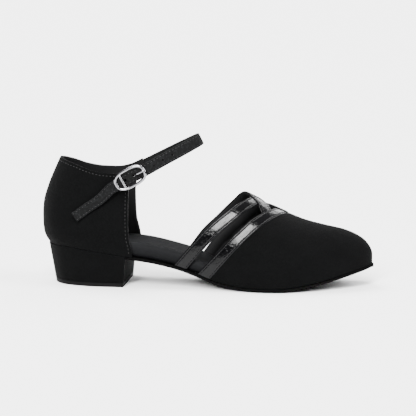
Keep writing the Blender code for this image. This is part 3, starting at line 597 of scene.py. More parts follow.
class Finish:
    """A material under construction: its shader, and nodes that read the shoe's own space."""

    def __init__(self, name, **fixed):
        self.material = bpy.data.materials.new("shoe_" + name)
        self.material.use_nodes = True
        self.tree = self.material.node_tree
        self.shader = self.tree.nodes["Principled BSDF"]
        for socket, value in fixed.items():
            self.shader.inputs[socket.replace("_", " ")].default_value = value
        self.space = self.tree.nodes.new("ShaderNodeTexCoord").outputs["Object"]

    def node(self, kind, **inputs):
        made = self.tree.nodes.new("ShaderNode" + kind)
        for socket, value in inputs.items():
            self.feed(made.inputs[socket.replace("_", " ")], value)
        return made

    def feed(self, socket, value):
        if isinstance(value, bpy.types.NodeSocket):
            self.tree.links.new(value, socket)
        else:
            socket.default_value = value

    def noise(self, size, detail, rough, stretch=(1, 1, 1)):
        """Noise whose spots are about size across, in metres."""
        where = self.node("Mapping", Vector=self.space, Scale=stretch)
        made = self.node(
            "TexNoise", Vector=where.outputs[0], Scale=1 / size, Detail=detail, Roughness=rough)
        return made.outputs["Fac"]

    def grains(self, size):
        """Pebbled cells about size across."""
        return self.node("TexVoronoi", Vector=self.space, Scale=1 / size).outputs["Distance"]

    def mask(self, field, low, high, most=1.0):
        """Black where a field is under low, and white, or most of it, where it is over high."""
        made = self.node("ValToRGB", Fac=field)
        fill_ramp(made, ((low, 0.0), (high, 1.0)))
        return made.outputs["Color"] if most == 1.0 else self.times(made.outputs["Color"], most)

    def pits(self, field, high, most):
        """The other way round: most where a field is 0, and black where it is over high."""
        made = self.node("ValToRGB", Fac=field)
        fill_ramp(made, ((0.0, 1.0), (high, 0.0)))
        return self.times(made.outputs["Color"], most)

    def times(self, first, second):
        made = self.tree.nodes.new("ShaderNodeMath")
        made.operation = "MULTIPLY"
        self.feed(made.inputs[0], first)
        self.feed(made.inputs[1], second)
        return made.outputs[0]

    def colour(self, *fields):
        """Base colour: the first row's two colours mixed by its field, then each other row over it."""
        mixed = None
        for fac, first, second in fields:
            made = self.tree.nodes.new("ShaderNodeMix")
            made.data_type = "RGBA"
            self.feed(made.inputs["Factor"], fac)
            self.feed(made.inputs["A"], mixed or (*first, 1))
            self.feed(made.inputs["B"], (*second, 1))
            mixed = made.outputs["Result"]
        self.feed(self.shader.inputs["Base Color"], mixed)

    def bump(self, *fields):
        """Relief from rows of height field and depth in metres."""
        normal = None
        for height, depth in fields:
            made = self.node("Bump", Height=height, Distance=depth, Strength=1.0)
            if normal:
                self.feed(made.inputs["Normal"], normal)
            normal = made.outputs["Normal"]
        self.feed(self.shader.inputs["Normal"], normal)

    def rough(self, fac, low, high):
        made = self.node("MapRange", Value=fac)
        made.inputs["To Min"].default_value = low
        made.inputs["To Max"].default_value = high
        self.feed(self.shader.inputs["Roughness"], made.outputs["Result"])


def shade(colour, share):
    return tuple(min(1.0, c * share) for c in colour)


def suede_finish():
    s = bpy.context.scene.shoe_suede
    made = Finish("suede", Sheen_Weight=s.sheen, Sheen_Roughness=0.45, Specular_IOR_Level=0.04)
    nap = made.noise(s.nap_size, 4, 0.7)
    brushed = made.noise(s.brushed, 3, 0.6, (0.8, 1, 1.3))
    scuffs = made.noise(s.nap_size * 5, 2, 0.6, (0.35, 1, 1))
    dark, base, light = shade(s.colour, 0.55), tuple(s.colour), shade(s.colour, 1.9)
    made.colour(
        (made.mask(brushed, 0.35, 0.7), dark, base),
        (made.mask(nap, 0.4, 0.75, 0.75), base, light),
        (made.mask(scuffs, 0.62, 0.8, 0.35), base, light),
    )
    made.bump((nap, s.nap_depth), (scuffs, s.nap_depth * 0.6))
    made.rough(nap, 0.85, 1.0)
    return made.material


def strap_suede_finish():
    """Suede of the ankle strap: rubbed by wear, with painted glints as bright specks."""
    s = bpy.context.scene.shoe_suede
    made = Finish("strap_suede", Sheen_Weight=s.sheen, Sheen_Roughness=0.45, Specular_IOR_Level=0.07)
    nap = made.noise(s.nap_size * 2.4, 3, 0.7)
    rubbed = made.noise(s.nap_size * 7, 3, 0.6)
    # The brightest colour is a painted glint: light caught by the nap, painted in as bright specks
    base, worn, painted_glint = tuple(s.colour), shade(s.colour, 1.6), shade(s.colour, 6.5)
    made.colour(
        (made.mask(rubbed, 0.35, 0.65), base, worn),
        (made.mask(nap, 0.5, 0.6, 0.8), base, painted_glint),
    )
    made.bump((nap, s.nap_depth))
    made.rough(nap, 0.6, 0.95)
    return made.material


def patent_finish():
    s = bpy.context.scene.shoe_patent
    made = Finish("patent", Coat_Weight=0.05, Coat_Roughness=0.03, Specular_IOR_Level=0.115)
    ripple = made.noise(s.ripple_size, 2, 0.5)
    fine = made.noise(s.ripple_size * 0.25, 2, 0.5)
    dust = made.noise(s.ripple_size * 0.12, 3, 0.6)
    made.colour((made.mask(dust, 0.68, 0.8), s.colour, shade(s.colour, 3)))
    made.bump((ripple, s.ripple_depth), (fine, s.ripple_depth * 0.3))
    made.rough(made.mask(dust, 0.5, 0.8), s.gloss, s.gloss + 0.08)
    return made.material


def leather_finish(name, colour, grain, depth, low, high, **fixed):
    """Plain leather with pebbled grain, a little uneven in colour and gloss."""
    made = Finish(name, **fixed)
    grains = made.grains(grain)
    cloud = made.noise(grain * 14, 3, 0.6)
    fuzz = made.noise(grain * 0.5, 3, 0.6)
    made.colour(
        (made.mask(cloud, 0.3, 0.75), shade(colour, 0.8), shade(colour, 1.2)),
        (made.pits(grains, 0.3, 0.5), colour, shade(colour, 0.55)),
    )
    made.bump((grains, depth), (fuzz, depth * 0.4))
    made.rough(cloud, low, high)
    return made.material


# Also laid on the patent straps' seam grooves as painted shade
def lining_finish():
    return leather_finish("lining", bpy.context.scene.shoe_body.lining, 0.0009, 0.00006, 0.62, 0.8,
                          Specular_IOR_Level=0.08)


def insole_finish():
    return leather_finish("insole_leather", bpy.context.scene.shoe_body.insole, 0.0008, 0.00005,
                          0.55, 0.75, Specular_IOR_Level=0.04)


def sole_finish():
    s = bpy.context.scene.shoe_body
    made = Finish("sole_leather", Specular_IOR_Level=0.02)
    fibre = made.noise(0.0007, 4, 0.7, (0.3, 1, 1))
    worn = made.noise(0.018, 4, 0.65)
    scratches = made.noise(0.0012, 3, 0.6, (0.08, 1, 1))
    made.colour(
        (made.mask(fibre, 0.35, 0.7), shade(s.sole, 0.7), shade(s.sole, 1.4)),
        (made.mask(worn, 0.5, 0.8, 0.4), s.sole, shade(s.sole, 2.4)),
        (made.mask(scratches, 0.66, 0.74, 0.5), s.sole, shade(s.sole, 3.2)),
    )
    made.bump((fibre, 0.00008), (scratches, 0.00005))
    made.rough(worn, 0.6, 0.85)
    return made.material


def rubber_finish():
    s = bpy.context.scene.shoe_body
    made = Finish("lift_rubber", Specular_IOR_Level=0.06)
    grit = made.noise(0.0005, 3, 0.6)
    worn = made.noise(0.008, 4, 0.6)
    made.colour(
        (made.mask(grit, 0.4, 0.7), shade(s.rubber, 0.8), shade(s.rubber, 1.3)),
        (made.mask(worn, 0.55, 0.8, 0.5), s.rubber, shade(s.rubber, 2.2)),
    )
    made.bump((grit, 0.00006))
    made.rough(worn, 0.5, 0.75)
    return made.material


def thread_finish(name="thread"):
    s = bpy.context.scene.shoe_stitching
    made = Finish(name, Specular_IOR_Level=0.3)
    colour = s.colour if name == "thread" else s.dark
    twist = made.noise(0.0003, 2, 0.5, (1, 1, 2))
    made.colour((twist, shade(colour, 0.6), shade(colour, 1.5)))
    made.bump((twist, 0.00006))
    made.rough(twist, 0.55, 0.75)
    return made.material


def chrome_finish():
    s = bpy.context.scene.shoe_body
    made = Finish("chrome", Metallic=1.0)
    smear = made.noise(0.004, 4, 0.6)
    hairline = made.noise(0.0006, 3, 0.6, (0.2, 1, 1))
    made.colour((smear, shade(s.chrome, 0.92), shade(s.chrome, 1.06)))
    made.bump((hairline, 0.000004))
    made.rough(smear, 0.06, 0.16)
    return made.material


FINISHES = {
    "suede": suede_finish,
    "strap_suede": strap_suede_finish,
    "patent": patent_finish,
    "lining": lining_finish,
    "insole_leather": insole_finish,
    "sole_leather": sole_finish,
    "lift_rubber": rubber_finish,
    "thread": thread_finish,
    "dark_thread": lambda: thread_finish("dark_thread"),
    "chrome": chrome_finish,
}


def finish(name):
    """A material by name, made when it is first asked for."""
    return bpy.data.materials.get("shoe_" + name) or FINISHES[name]()


def mesh_of(name, bm):
    mesh = bpy.data.meshes.new(name)
    bm.to_mesh(mesh)
    bm.free()
    return mesh


def placed(name, data):
    """Object in the scene for a mesh, lamp or camera."""
    made = bpy.data.objects.new(name, data)
    bpy.context.scene.collection.objects.link(made)
    return made


def piece(name, bm, finishes, slot, *nodes):
    """Object of the shoe from a bmesh in the last's lengths, riding on the part's one body."""
    bmesh.ops.translate(bm, verts=bm.verts, vec=(-ORIGIN, 0, 0))
    for face in bm.faces:
        face.smooth = True
    mesh = mesh_of(name, bm)
    for one in finishes:
        mesh.materials.append(finish(one))
    made = placed(name, mesh)
    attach(made, "root")
    if nodes:
        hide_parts(*nodes)
    return made


def patch(grid, closed=False, caps=(False, False), lining_and_shade_columns=()):
    """Skin over rows of points; closed joins each row's last point to its first.

    The columns of faces named in the last argument take the piece's second finish: a real lining, and on a
    strap also painted shade in the seams' grooves.
    """
    bm = bmesh.new()
    rows = [[bm.verts.new(p) for p in line] for line in grid]
    for near, far in zip(rows[:-1], rows[1:]):
        for i in range(len(near) - (not closed)):
            j = (i + 1) % len(near)
            face = bm.faces.new((near[i], near[j], far[j], far[i]))
            face.material_index = int(i in lining_and_shade_columns)
    if caps[0]:
        bm.faces.new(rows[0][::-1])
    if caps[1]:
        bm.faces.new(rows[-1])
    bmesh.ops.remove_doubles(bm, verts=bm.verts, dist=1e-6)
    bmesh.ops.recalc_face_normals(bm, faces=bm.faces)
    if closed and bm.calc_volume(signed=True) < 0:
        bmesh.ops.reverse_faces(bm, faces=bm.faces)
    return bm


def soften(made, width):
    """Rounds the sharp edges of a piece."""
    round_off = made.modifiers.new("soft_edges", "BEVEL")
    round_off.width = width
    round_off.segments = SOFT_SEGMENTS
    round_off.limit_method = "ANGLE"
    round_off.angle_limit = SOFT_ANGLE
    round_off.harden_normals = False


def shell(name, grid, wall, inner, finishes, slot, *nodes):
    """Leather wall on an open skin: outer face, cut edge and inner face, softly rounded."""
    bm = patch(grid)
    bm.normal_update()
    if sum(f.normal.dot(f.calc_center_median() - inner) for f in bm.faces) < 0:
        bmesh.ops.reverse_faces(bm, faces=bm.faces)
    made = piece(name, bm, finishes, slot, *nodes)
    thick = made.modifiers.new("wall", "SOLIDIFY")
    thick.thickness = wall
    thick.offset = -1
    thick.use_even_offset = True
    thick.material_offset = 1
    thick.material_offset_rim = 1
    soften(made, bpy.context.scene.shoe_body.edge_round)
    return made


def stitches(name, runs, slot, thread="thread"):
    """Row of thread stitches along each run of points with the direction out of the leather."""
    s = bpy.context.scene.shoe_stitching
    bm = bmesh.new()
    for run in runs:
        points, outs = (np.array([tuple(p) for p in column]) for column in zip(*run))
        gaps = [np.linalg.norm(b - a) for a, b in zip(points[:-1], points[1:])]
        lengths = np.concatenate([[0], np.cumsum(gaps)])
        count = int(lengths[-1] / s.pitch)
        for i in range(count):
            here = (i + 0.5) * lengths[-1] / count
            middle, ahead, behind, out = (
                Vector([np.interp(want, lengths, column) for column in table.T])
                for want, table in (
                    (here, points), (here + SHORT_STEP, points), (here - SHORT_STEP, points), (here, outs)))
            along = (ahead - behind).normalized()
            across = out.cross(along).normalized()
            turned = Matrix((along, across, along.cross(across))).transposed().to_4x4()
            sized = Matrix.Diagonal((s.length, s.thickness, s.thickness, 1))
            bmesh.ops.create_uvsphere(
                bm, u_segments=6, v_segments=5, radius=0.5,
                matrix=Matrix.Translation(middle) @ turned @ sized @ Matrix.Rotation(pi / 2, 4, "Y"))
    return piece(name, bm, [thread], slot)


def strap_section(half, crown):
    """Half section of a strap from its edge to its middle: from the edge, height of the face."""
    s = bpy.context.scene.shoe_stitching
    rows = []
    for inset in (*STRAP_STEPS, half):
        round_off = max(0.0, 1 - inset / BEAD)
        press = np.exp(-((inset - s.inset) / GROOVE) ** 2) * s.press
        swell = crown * (1 - (1 - inset / half) ** 2)
        rows.append((inset, swell - BEAD_DROP * round_off ** 2 - press))
    return rows


def strap_ring(at, half, wall, crown):
    """Closed ring of a strap: at(across) gives the point and the direction out, across from -1 to 1."""
    rows = strap_section(half, crown)
    ring = []
    for side, order in ((-1, rows), (1, rows[-2::-1])):
        for inset, height in order:
            here, out = at(side * (1 - inset / half))
            ring.append(here + out * height)
    for across, height in ((1, -0.6 * wall), (0.96, -wall), (0, -wall), (-0.96, -wall), (-1, -0.6 * wall)):
        here, out = at(across)
        ring.append(here + out * height)
    return ring


def band(name, node, path, hand, thick, proud, over, last_v, under_binding):
    """Patent strap over the fore part, with its two seams; it ends under the binding if that is set."""
    s = bpy.context.scene.shoe_patent
    seam_inset = bpy.context.scene.shoe_stitching.inset
    binding = Curve(BINDING_PATH)
    rings, seams = [], ([], [])
    for v in np.linspace(-1, last_v, CROSSED_ROWS if last_v < 1 else BINDING_ROWS):
        rear, front = band_edges(path, v, hand)
        if under_binding:
            stop = band_edges(binding, v * hand)[0] + under_binding
            if stop - rear < BAND_LEAST:
                break
        near = max(0.0, 1 - abs(v) / OVERPASS_REACH)
        lift = proud + over * near * near * (3 - 2 * near)
        width = band_width(v)

        def length_at(across):
            return (rear + front) / 2 + (front - rear) / 2 * across

        def at(across):
            x = length_at(across)
            if under_binding:
                x = min(x, stop)
            here, out = fore_frame(x, v * hand)
            return here + out * lift, out

        rings.append(strap_ring(at, width / 2, thick, s.crown))
        for side, seam in zip((-1, 1), seams):
            across = side * (1 - seam_inset / (width / 2))
            if not under_binding or length_at(across) < stop - under_binding:
                here, out = at(across)
                seam.append((here + out * SEAM_RISE, out))
    # The seam grooves take the dark matt lining as painted shade
    piece(name, patch(rings, True, (True, True), STRAP_LINING_AND_GROOVE_SHADE), ["patent", "lining"], "patent", node)
    stitches(name + "_seams", [seam for seam in seams if len(seam) > 2], "patent", "dark_thread")


def trough(v, share, folds):
    """Depth of the soft troughs at a place on the vamp, in metres."""
    depth = 0.0
    for v_a, s_a, v_b, s_b, deep, width in folds:
        a, b, p = (
            np.array((one * HALF_GIRTH, s * LENGTH)) for one, s in ((v_a, s_a), (v_b, s_b), (v, share)))
        u = min(max(np.dot(p - a, b - a) / np.dot(b - a, b - a), 0.0), 1.0)
        off = np.linalg.norm(p - a - (b - a) * u) / width
        fade = sin(pi * min(max(u, FOLD_ENDS[0]), FOLD_ENDS[1]))
        shape = (1 + FOLD_RIM) * np.exp(-off * off) - FOLD_RIM * np.exp(-off * off / 4)
        depth += deep * fade * shape
    return depth


class SHOE_OT_outsole(Operator):
    """Thin leather outsole from the heel's breast to the toe"""

    bl_idname = "shoe.outsole"
    bl_label = "Outsole"

    def execute(self, context):
        rings = []
        for x in stations(HEEL_BREAST + BREAST_LEAN + CLEAR, LENGTH, SOLE_ROWS, round_last=True):
            low, high = underside(x), seat(x)
            # Half section, with the stitching channel: inset from the edge, and height
            rows = (
                (0.0100, low), (0.0060, low), (0.0042, low), (0.0036, low + 0.0004),
                (0.0030, low + 0.00005), (0.0016, low + SKIVE * 0.35), (0.0005, low + SKIVE * 0.8),
                (0.0, low + SKIVE + 0.0003), (0.0, high - 0.0004), (0.0004, high), (0.0080, high),
            )
            ring = []
            for side, order in ((1, rows), (-1, rows[::-1])):
                ring += [(x, edge(x, side, inset), height) for inset, height in order]
            rings.append(ring)
        piece("outsole_leather", patch(rings, True, (True, False)), ["sole_leather"], "sole_leather",
              "outsole")
        return {"FINISHED"}


class SHOE_OT_heel(Operator):
    """Suede-covered block heel and its rubber lift"""

    bl_idname = "shoe.heel"
    bl_label = "Heel"

    def execute(self, context):
        for name, node, low, high, look, soft in (
                ("heel_cover", "heel_block", LIFT + CLEAR, None, "suede", COVER_ROUND),
                ("heel_lift", "top_lift", 0.0, LIFT, "lift_rubber", LIFT_ROUND)):
            rings = [self.ring(s, low, high) for s in stations(0, 1, HEEL_ROWS, round_first=True)]
            made = piece(name, patch(rings, True, (False, True)), [look], look, node)
            soften(made, soft)
        return {"FINISHED"}

    def ring(self, s, low, high):
        """Ring at share s from the heel's back to its breast, from low to high, or to the seat."""
        top_x = SEAT_INSET + (HEEL_BREAST + BREAST_LEAN - SEAT_INSET) * s
        foot_x = SEAT_INSET + HEEL_TAPER + (HEEL_BREAST - SEAT_INSET - HEEL_TAPER) * s
        top = seat(max(top_x, SEAT_INSET))
        left, right = edge(top_x, -1), edge(top_x, 1)
        end = top if high is None else high
        levels = [low + (end - low) * k for k in np.linspace(0, 1, HEEL_LEVELS)]
        ring = []
        for side, order in ((-1, levels[::-1]), (1, levels)):
            for z in order:
                k = z / top
                half = (right - left) / 2 - HEEL_SIDE_TAPER * (1 - k) * min(1, 4 * s)
                ring.append((foot_x + (top_x - foot_x) * k, (left + right) / 2 + side * half, z))
        return ring


class SHOE_OT_insole(Operator):
    """Padded insole"""

    bl_idname = "shoe.insole"
    bl_label = "Insole"

    def execute(self, context):
        inset = QUARTER_WALL + LIP + CLEAR
        rings = []
        for x in stations(SEAT_INSET + inset + CLEAR, LENGTH - inset - CLEAR, INSOLE_ROWS, True, True):
            low, thick = seat(x) + CLEAR, insole_at(x / LENGTH)
            ring = []
            for side in (1, -1):
                rows = [(x, edge(x, side, inset + draw), low + thick * share)
                        for draw, share in INSOLE_EDGE]
                outer = edge(x, side, inset + INSOLE_EDGE[-1][0])
                middle = (edge(x, -1, inset) + edge(x, 1, inset)) / 2
                crown = [(x, outer + (middle - outer) * w,
                          low + thick * (1 - INSOLE_HOLLOW * sin(pi / 2 * w))) for w in INSOLE_TOP]
                rows = [(x, middle, low)] * (side == 1) + rows + crown
                ring += rows if side == 1 else rows[::-1]
            rings.append(ring)
        made = piece("padded_insole", patch(rings, True, (True, True)), ["insole_leather"], "insole_lining",
                     "insole")
        return {"FINISHED"}


class SHOE_OT_quarter(Operator):
    """Suede quarter with its lining and seams"""

    bl_idname = "shoe.quarter"
    bl_label = "Quarter"

    def execute(self, context):
        ways = stations(0, 1, QUARTER_COLUMNS, round_first=True)
        levels = np.linspace(0, 1, QUARTER_LEVELS)
        grid = [[quarter_point(-1, way, k) for k in levels] for way in ways[::-1]]
        grid += [[quarter_point(1, way, k) for k in levels] for way in ways[1:]]
        shell("quarter_suede", grid, QUARTER_WALL, QUARTER_MIDDLE, ["suede", "lining"], "suede", "quarter")
        topline, fronts = [], []
        for side, order in ((-1, ways[::-1]), (1, ways[1:])):
            for way in order:
                if way <= TOPLINE_SEAM_TO:
                    height = (quarter_point(side, way, 1) - quarter_point(side, way, 0)).length
                    k = 1 - QUARTER_SEAM / height
                    topline.append((quarter_point(side, way, k), self.out(side, way, k)))
            run = []
            for k in np.linspace(*FRONT_SEAM, SEAM_POINTS):
                span = (quarter_point(side, 1, k) - quarter_point(side, 0, k)).x
                way = 1 - QUARTER_SEAM / span
                run.append((quarter_point(side, way, k), self.out(side, way, k)))
            fronts.append(run)
        stitches("quarter_seams", [topline] + fronts, "suede")
        return {"FINISHED"}

    def out(self, side, way, k):
        """Direction out of the quarter, away from its inside."""
        ahead, behind = min(way + SHARE_STEP, 1), max(way - SHARE_STEP, 0.001)
        above, below = min(k + SHARE_STEP, 1), max(k - SHARE_STEP, 0)
        lengthways = quarter_point(side, ahead, k) - quarter_point(side, behind, k)
        upwards = quarter_point(side, way, above) - quarter_point(side, way, below)
        out = lengthways.cross(upwards).normalized()
        away = quarter_point(side, way, k) - QUARTER_MIDDLE
        away.z = 0
        return out if out.dot(away) > 0 else -out


class SHOE_OT_vamp(Operator):
    """Closed suede vamp with its lining"""

    bl_idname = "shoe.vamp"
    bl_label = "Vamp"

    def execute(self, context):
        binding = Curve(BINDING_PATH)
        grid = []
        for v in np.linspace(-1, 1, VAMP_COLUMNS):
            throat = band_edges(binding, v)[1] - THROAT_TUCK
            line = []
            for x in stations(throat, LENGTH - LIP, VAMP_ROWS, round_last=True):
                here, out = fore_frame(x, v)
                if x < LENGTH * FOLDS_TO:
                    here = here - out * trough(v, x / LENGTH, VAMP_FOLDS)
                line.append(here)
            grid.append(line)
        shell("vamp_suede", grid, VAMP_WALL, FORE_MIDDLE, ["suede", "lining"], "suede", "vamp")
        return {"FINISHED"}


class SHOE_OT_binding(Operator):
    """Patent strap that binds the vamp's throat"""

    bl_idname = "shoe.binding"
    bl_label = "Throat binding"

    def execute(self, context):
        band("throat_binding", "vamp_binding", Curve(BINDING_PATH), 1, BINDING_THICK, BINDING_PROUD,
             0.0, 1.0, 0.0)
        return {"FINISHED"}


class SHOE_OT_cross_straps(Operator):
    """The two patent straps that cross on the instep"""

    bl_idname = "shoe.cross_straps"
    bl_label = "Cross straps"

    def execute(self, context):
        for name, path, hand, over in (
                ("outer_cross_strap", LATERAL_PATH, 1, 0.0),
                ("inner_cross_strap", MEDIAL_PATH, -1, OVERPASS)):
            band(name, "cross_straps", Curve(path), hand, BAND_THICK, 0.0, over, CROSSED_TO, BINDING_TUCK)
        return {"FINISHED"}


def swept(frames, wall, crown):
    """Strap along frames of point, direction across, direction out and width."""
    rings = []
    for here, up, out, width in frames:
        def at(across):
            return here + up * (across * width / 2), out
        rings.append(strap_ring(at, width / 2, wall, crown))
    return patch(rings, True, (True, True))


def punch(made, name, shape, matrix):
    """Cuts a shape out of a piece and keeps the cut mesh."""
    bm = bmesh.new()
    shape(bm)
    tool = placed(name, mesh_of(name, bm))
    tool.matrix_world = Matrix.Translation((-ORIGIN, 0, 0)) @ matrix
    gone = made.modifiers.new(name, "BOOLEAN")
    gone.operation = "DIFFERENCE"
    gone.solver = "EXACT"
    gone.object = tool
    bpy.context.view_layer.update()
    seen = made.evaluated_get(bpy.context.evaluated_depsgraph_get())
    cut = bpy.data.meshes.new_from_object(seen)
    made.modifiers.remove(gone)
    made.data = cut
    bpy.data.objects.remove(tool)


def frame_matrix(here, along, up, out):
    """Local axes: X towards the front of the strap, Y across it upwards, Z out."""
    return Matrix.Translation(here) @ Matrix((-along, up, out)).transposed().to_4x4()


class SHOE_OT_ankle_strap(Operator):
    """Suede ankle strap with its punched holes and seams"""

    bl_idname = "shoe.ankle_strap"
    bl_label = "Ankle strap"

    def execute(self, context):
        route = Route()
        inset = context.scene.shoe_stitching.inset
        frames, seams = [], ([], [])
        for s in np.linspace(0, route.end, ANKLE_ROWS):
            here, _, up, out = route.frame(s)
            width = route.width(s)
            frames.append((here + out * STRAP_THICK / 2, up, out, width))
            for side, seam in zip((-1, 1), seams):
                place = here + up * side * (width / 2 - inset)
                seam.append((place + out * (STRAP_THICK / 2 + SEAM_RISE), out))
        made = piece("ankle_strap_suede", swept(frames, STRAP_THICK, STRAP_CROWN), ["strap_suede"],
                     "suede", "ankle_strap")
        for n in range(-HOLES_TAIL, HOLES_FORE + 1):
            matrix = frame_matrix(*route.frame(route.buckle - PRONG_HOLE - n * HOLE_STEP))
            stretch = PRONG_HOLE_STRETCH if n == 0 else 1.0
            punch(
                made, f"hole_{n + HOLES_TAIL}",
                lambda bm: bmesh.ops.create_cone(
                    bm, cap_ends=True, segments=20, radius1=HOLE / 2, radius2=HOLE / 2,
                    depth=4 * STRAP_THICK),
                matrix @ Matrix.Diagonal((stretch, HOLE_TALL, 1, 1)))
        stitches("ankle_strap_seams", seams, "suede")
        return {"FINISHED"}


def tube(line, radius, closed=False, sides=14):
    """Round wire through points; radius is a function of the share of its length."""
    line = [Vector(p) for p in line]
    count = len(line)
    rings = []
    across = Vector((0, 0, 1))
    for i, here in enumerate(line):
        ahead = line[(i + 1) % count] if closed else line[min(i + 1, count - 1)]
        behind = line[i - 1] if closed else line[max(i - 1, 0)]
        along = (ahead - behind).normalized()
        across = (across - along * across.dot(along)).normalized()
        third = along.cross(across)
        r = radius(i / (count - 1))
        rings.append([here + (across * cos(a) + third * sin(a)) * r
                      for a in np.linspace(0, 2 * pi, sides, endpoint=False)])
    if closed:
        rings.append(rings[0])
    return patch(rings, True, (not closed, not closed))


def eased(line, count):
    """Points along a smooth curve through a few points."""
    points = [Vector(p) for p in line]
    lengths = np.concatenate([[0], np.cumsum([(b - a).length for a, b in zip(points[:-1], points[1:])])])
    curves = [Curve([(s, p[axis]) for s, p in zip(lengths, points)]) for axis in range(3)]
    return [Vector([curve(s) for curve in curves]) for s in np.linspace(0, lengths[-1], count)]


def joined(parts, matrix):
    """One bmesh from several, moved by a matrix."""
    bm = bmesh.new()
    for part in parts:
        mesh = mesh_of("part", part)
        bm.from_mesh(mesh)
        bpy.data.meshes.remove(mesh)
    bmesh.ops.transform(bm, matrix=matrix, verts=bm.verts)
    return bm


class SHOE_OT_buckle(Operator):
    """Chrome buckle, its prong, and the tab that holds it"""

    bl_idname = "shoe.buckle"
    bl_label = "Buckle"

    def execute(self, context):
        route = Route()
        matrix = frame_matrix(*route.frame(route.buckle))
        half_long, half_wide = (BUCKLE_LENGTH - WIRE) / 2, (BUCKLE_WIDTH - WIRE) / 2
        power = 2 / BUCKLE_OVAL

        def oval(angle):
            c, s = cos(angle), sin(angle)
            return (
                half_long * abs(c) ** power * (1 if c > 0 else -1),
                half_wide * abs(s) ** power * (1 if s > 0 else -1),
                FRAME_RISE,
            )

        def side_at(x):
            return half_wide * (1 - (abs(x) / half_long) ** BUCKLE_OVAL) ** (1 / BUCKLE_OVAL)

        ring = tube([oval(2 * pi * (i + 0.5) / RING_POINTS) for i in range(RING_POINTS)],
                    lambda s: WIRE / 2, closed=True)
        keeper = side_at(KEEPER_PLACE)
        keeper_line = [(KEEPER_PLACE, keeper * t, FRAME_RISE) for t in np.linspace(-1, 1, 9)]
        side = side_at(BAR_PLACE)
        bar_line = eased([
            (BAR_PLACE, -side, FRAME_RISE),
            (BAR_PLACE, -side, -BAR_DROP * 0.7),
            (BAR_PLACE, -side * 0.86, -BAR_DROP),
            (BAR_PLACE, side * 0.86, -BAR_DROP),
            (BAR_PLACE, side, -BAR_DROP * 0.7),
            (BAR_PLACE, side, FRAME_RISE),
        ], BAR_POINTS)
        parts = [ring, tube(keeper_line, lambda s: BAR * 0.6), tube(bar_line, lambda s: BAR / 2)]
        piece("buckle_chrome", joined(parts, matrix), ["chrome"], "bright_chrome", "buckle_frame")
        self.prong(matrix)
        self.tab(route, matrix)
        return {"FINISHED"}

    def prong(self, matrix):
        """Prong round the bar, up through the strap's hole and on to the front of the frame."""
        reach = BAR / 2 + CLEAR / 2 + PRONG / 2
        line = [(BAR_PLACE + reach * cos(a), 0, -BAR_DROP + reach * sin(a))
                for a in (radians(d) for d in (185, 220, 255, 290, 325))]
        rest = FRAME_RISE + WIRE / 2 + CLEAR + PRONG / 2
        end = BUCKLE_LENGTH / 2
        line += [
            (PRONG_HOLE - 0.0016, 0, -STRAP_THICK * 0.9),
            (PRONG_HOLE - 0.0002, 0, 0),
            (PRONG_HOLE + 0.0012, 0, STRAP_THICK),
            (PRONG_HOLE + 0.0035, 0, rest * 0.86),
            (end - 0.0035, 0, rest),
            (end - WIRE / 2, 0, rest + 0.0001),
            (end + 0.0003, 0, rest - 0.0003),
        ]
        made = tube(eased(line, PRONG_POINTS), lambda s: PRONG / 2 * min(1.0, 0.35 + 9 * (1 - s)), sides=12)
        piece("prong_chrome", joined([made], matrix), ["chrome"], "bright_chrome", "buckle_prong")

    def tab(self, route, matrix):
        """Tab on the quarter, folded round the bar and slotted for the prong."""
        turn = BAR / 2 + CLEAR + TAB_THICK / 2

        def laid(back, stand):
            here = route.point(route.buckle + back)
            return on_quarter(here.x, here.z, stand)

        low = CLEAR + TAB_THICK / 2 + TAB_REST
        line = [laid(0.019, low), laid(0.0145, low), laid(0.0105, low), laid(0.0075, low * 1.15)]
        for angle in (255, 290, 325, 0, 35, 70, 100):
            a = radians(angle)
            line.append(matrix @ Vector((BAR_PLACE + turn * cos(a), 0, -BAR_DROP + turn * sin(a))))
        line += [matrix @ Vector((BAR_PLACE - 0.0025, 0, -BAR_DROP + turn * 0.8))]
        line += [laid(0.009, low + TAB_THICK + CLEAR + 0.0001)]
        up = matrix.to_3x3().col[1]
        points = eased(line, TAB_POINTS)
        frames = []
        for i, here in enumerate(points):
            along = points[min(i + 1, TAB_POINTS - 1)] - points[max(i - 1, 0)]
            out = along.cross(up).normalized()
            frames.append((here + out * TAB_THICK / 2, up, out, TAB_WIDTH))
        made = piece("buckle_tab_suede", swept(frames, TAB_THICK, 0.0), ["suede"], "suede", "buckle_tab")
        reach = BAR / 2 + CLEAR + TAB_THICK + PRONG
        punch(
            made, "prong_slot", lambda bm: bmesh.ops.create_cube(bm, size=1),
            matrix @ Matrix.Translation((BAR_PLACE, 0, -BAR_DROP)) @ Matrix.Diagonal(
                (2 * reach, PRONG_SLOT, 2 * reach, 1)))


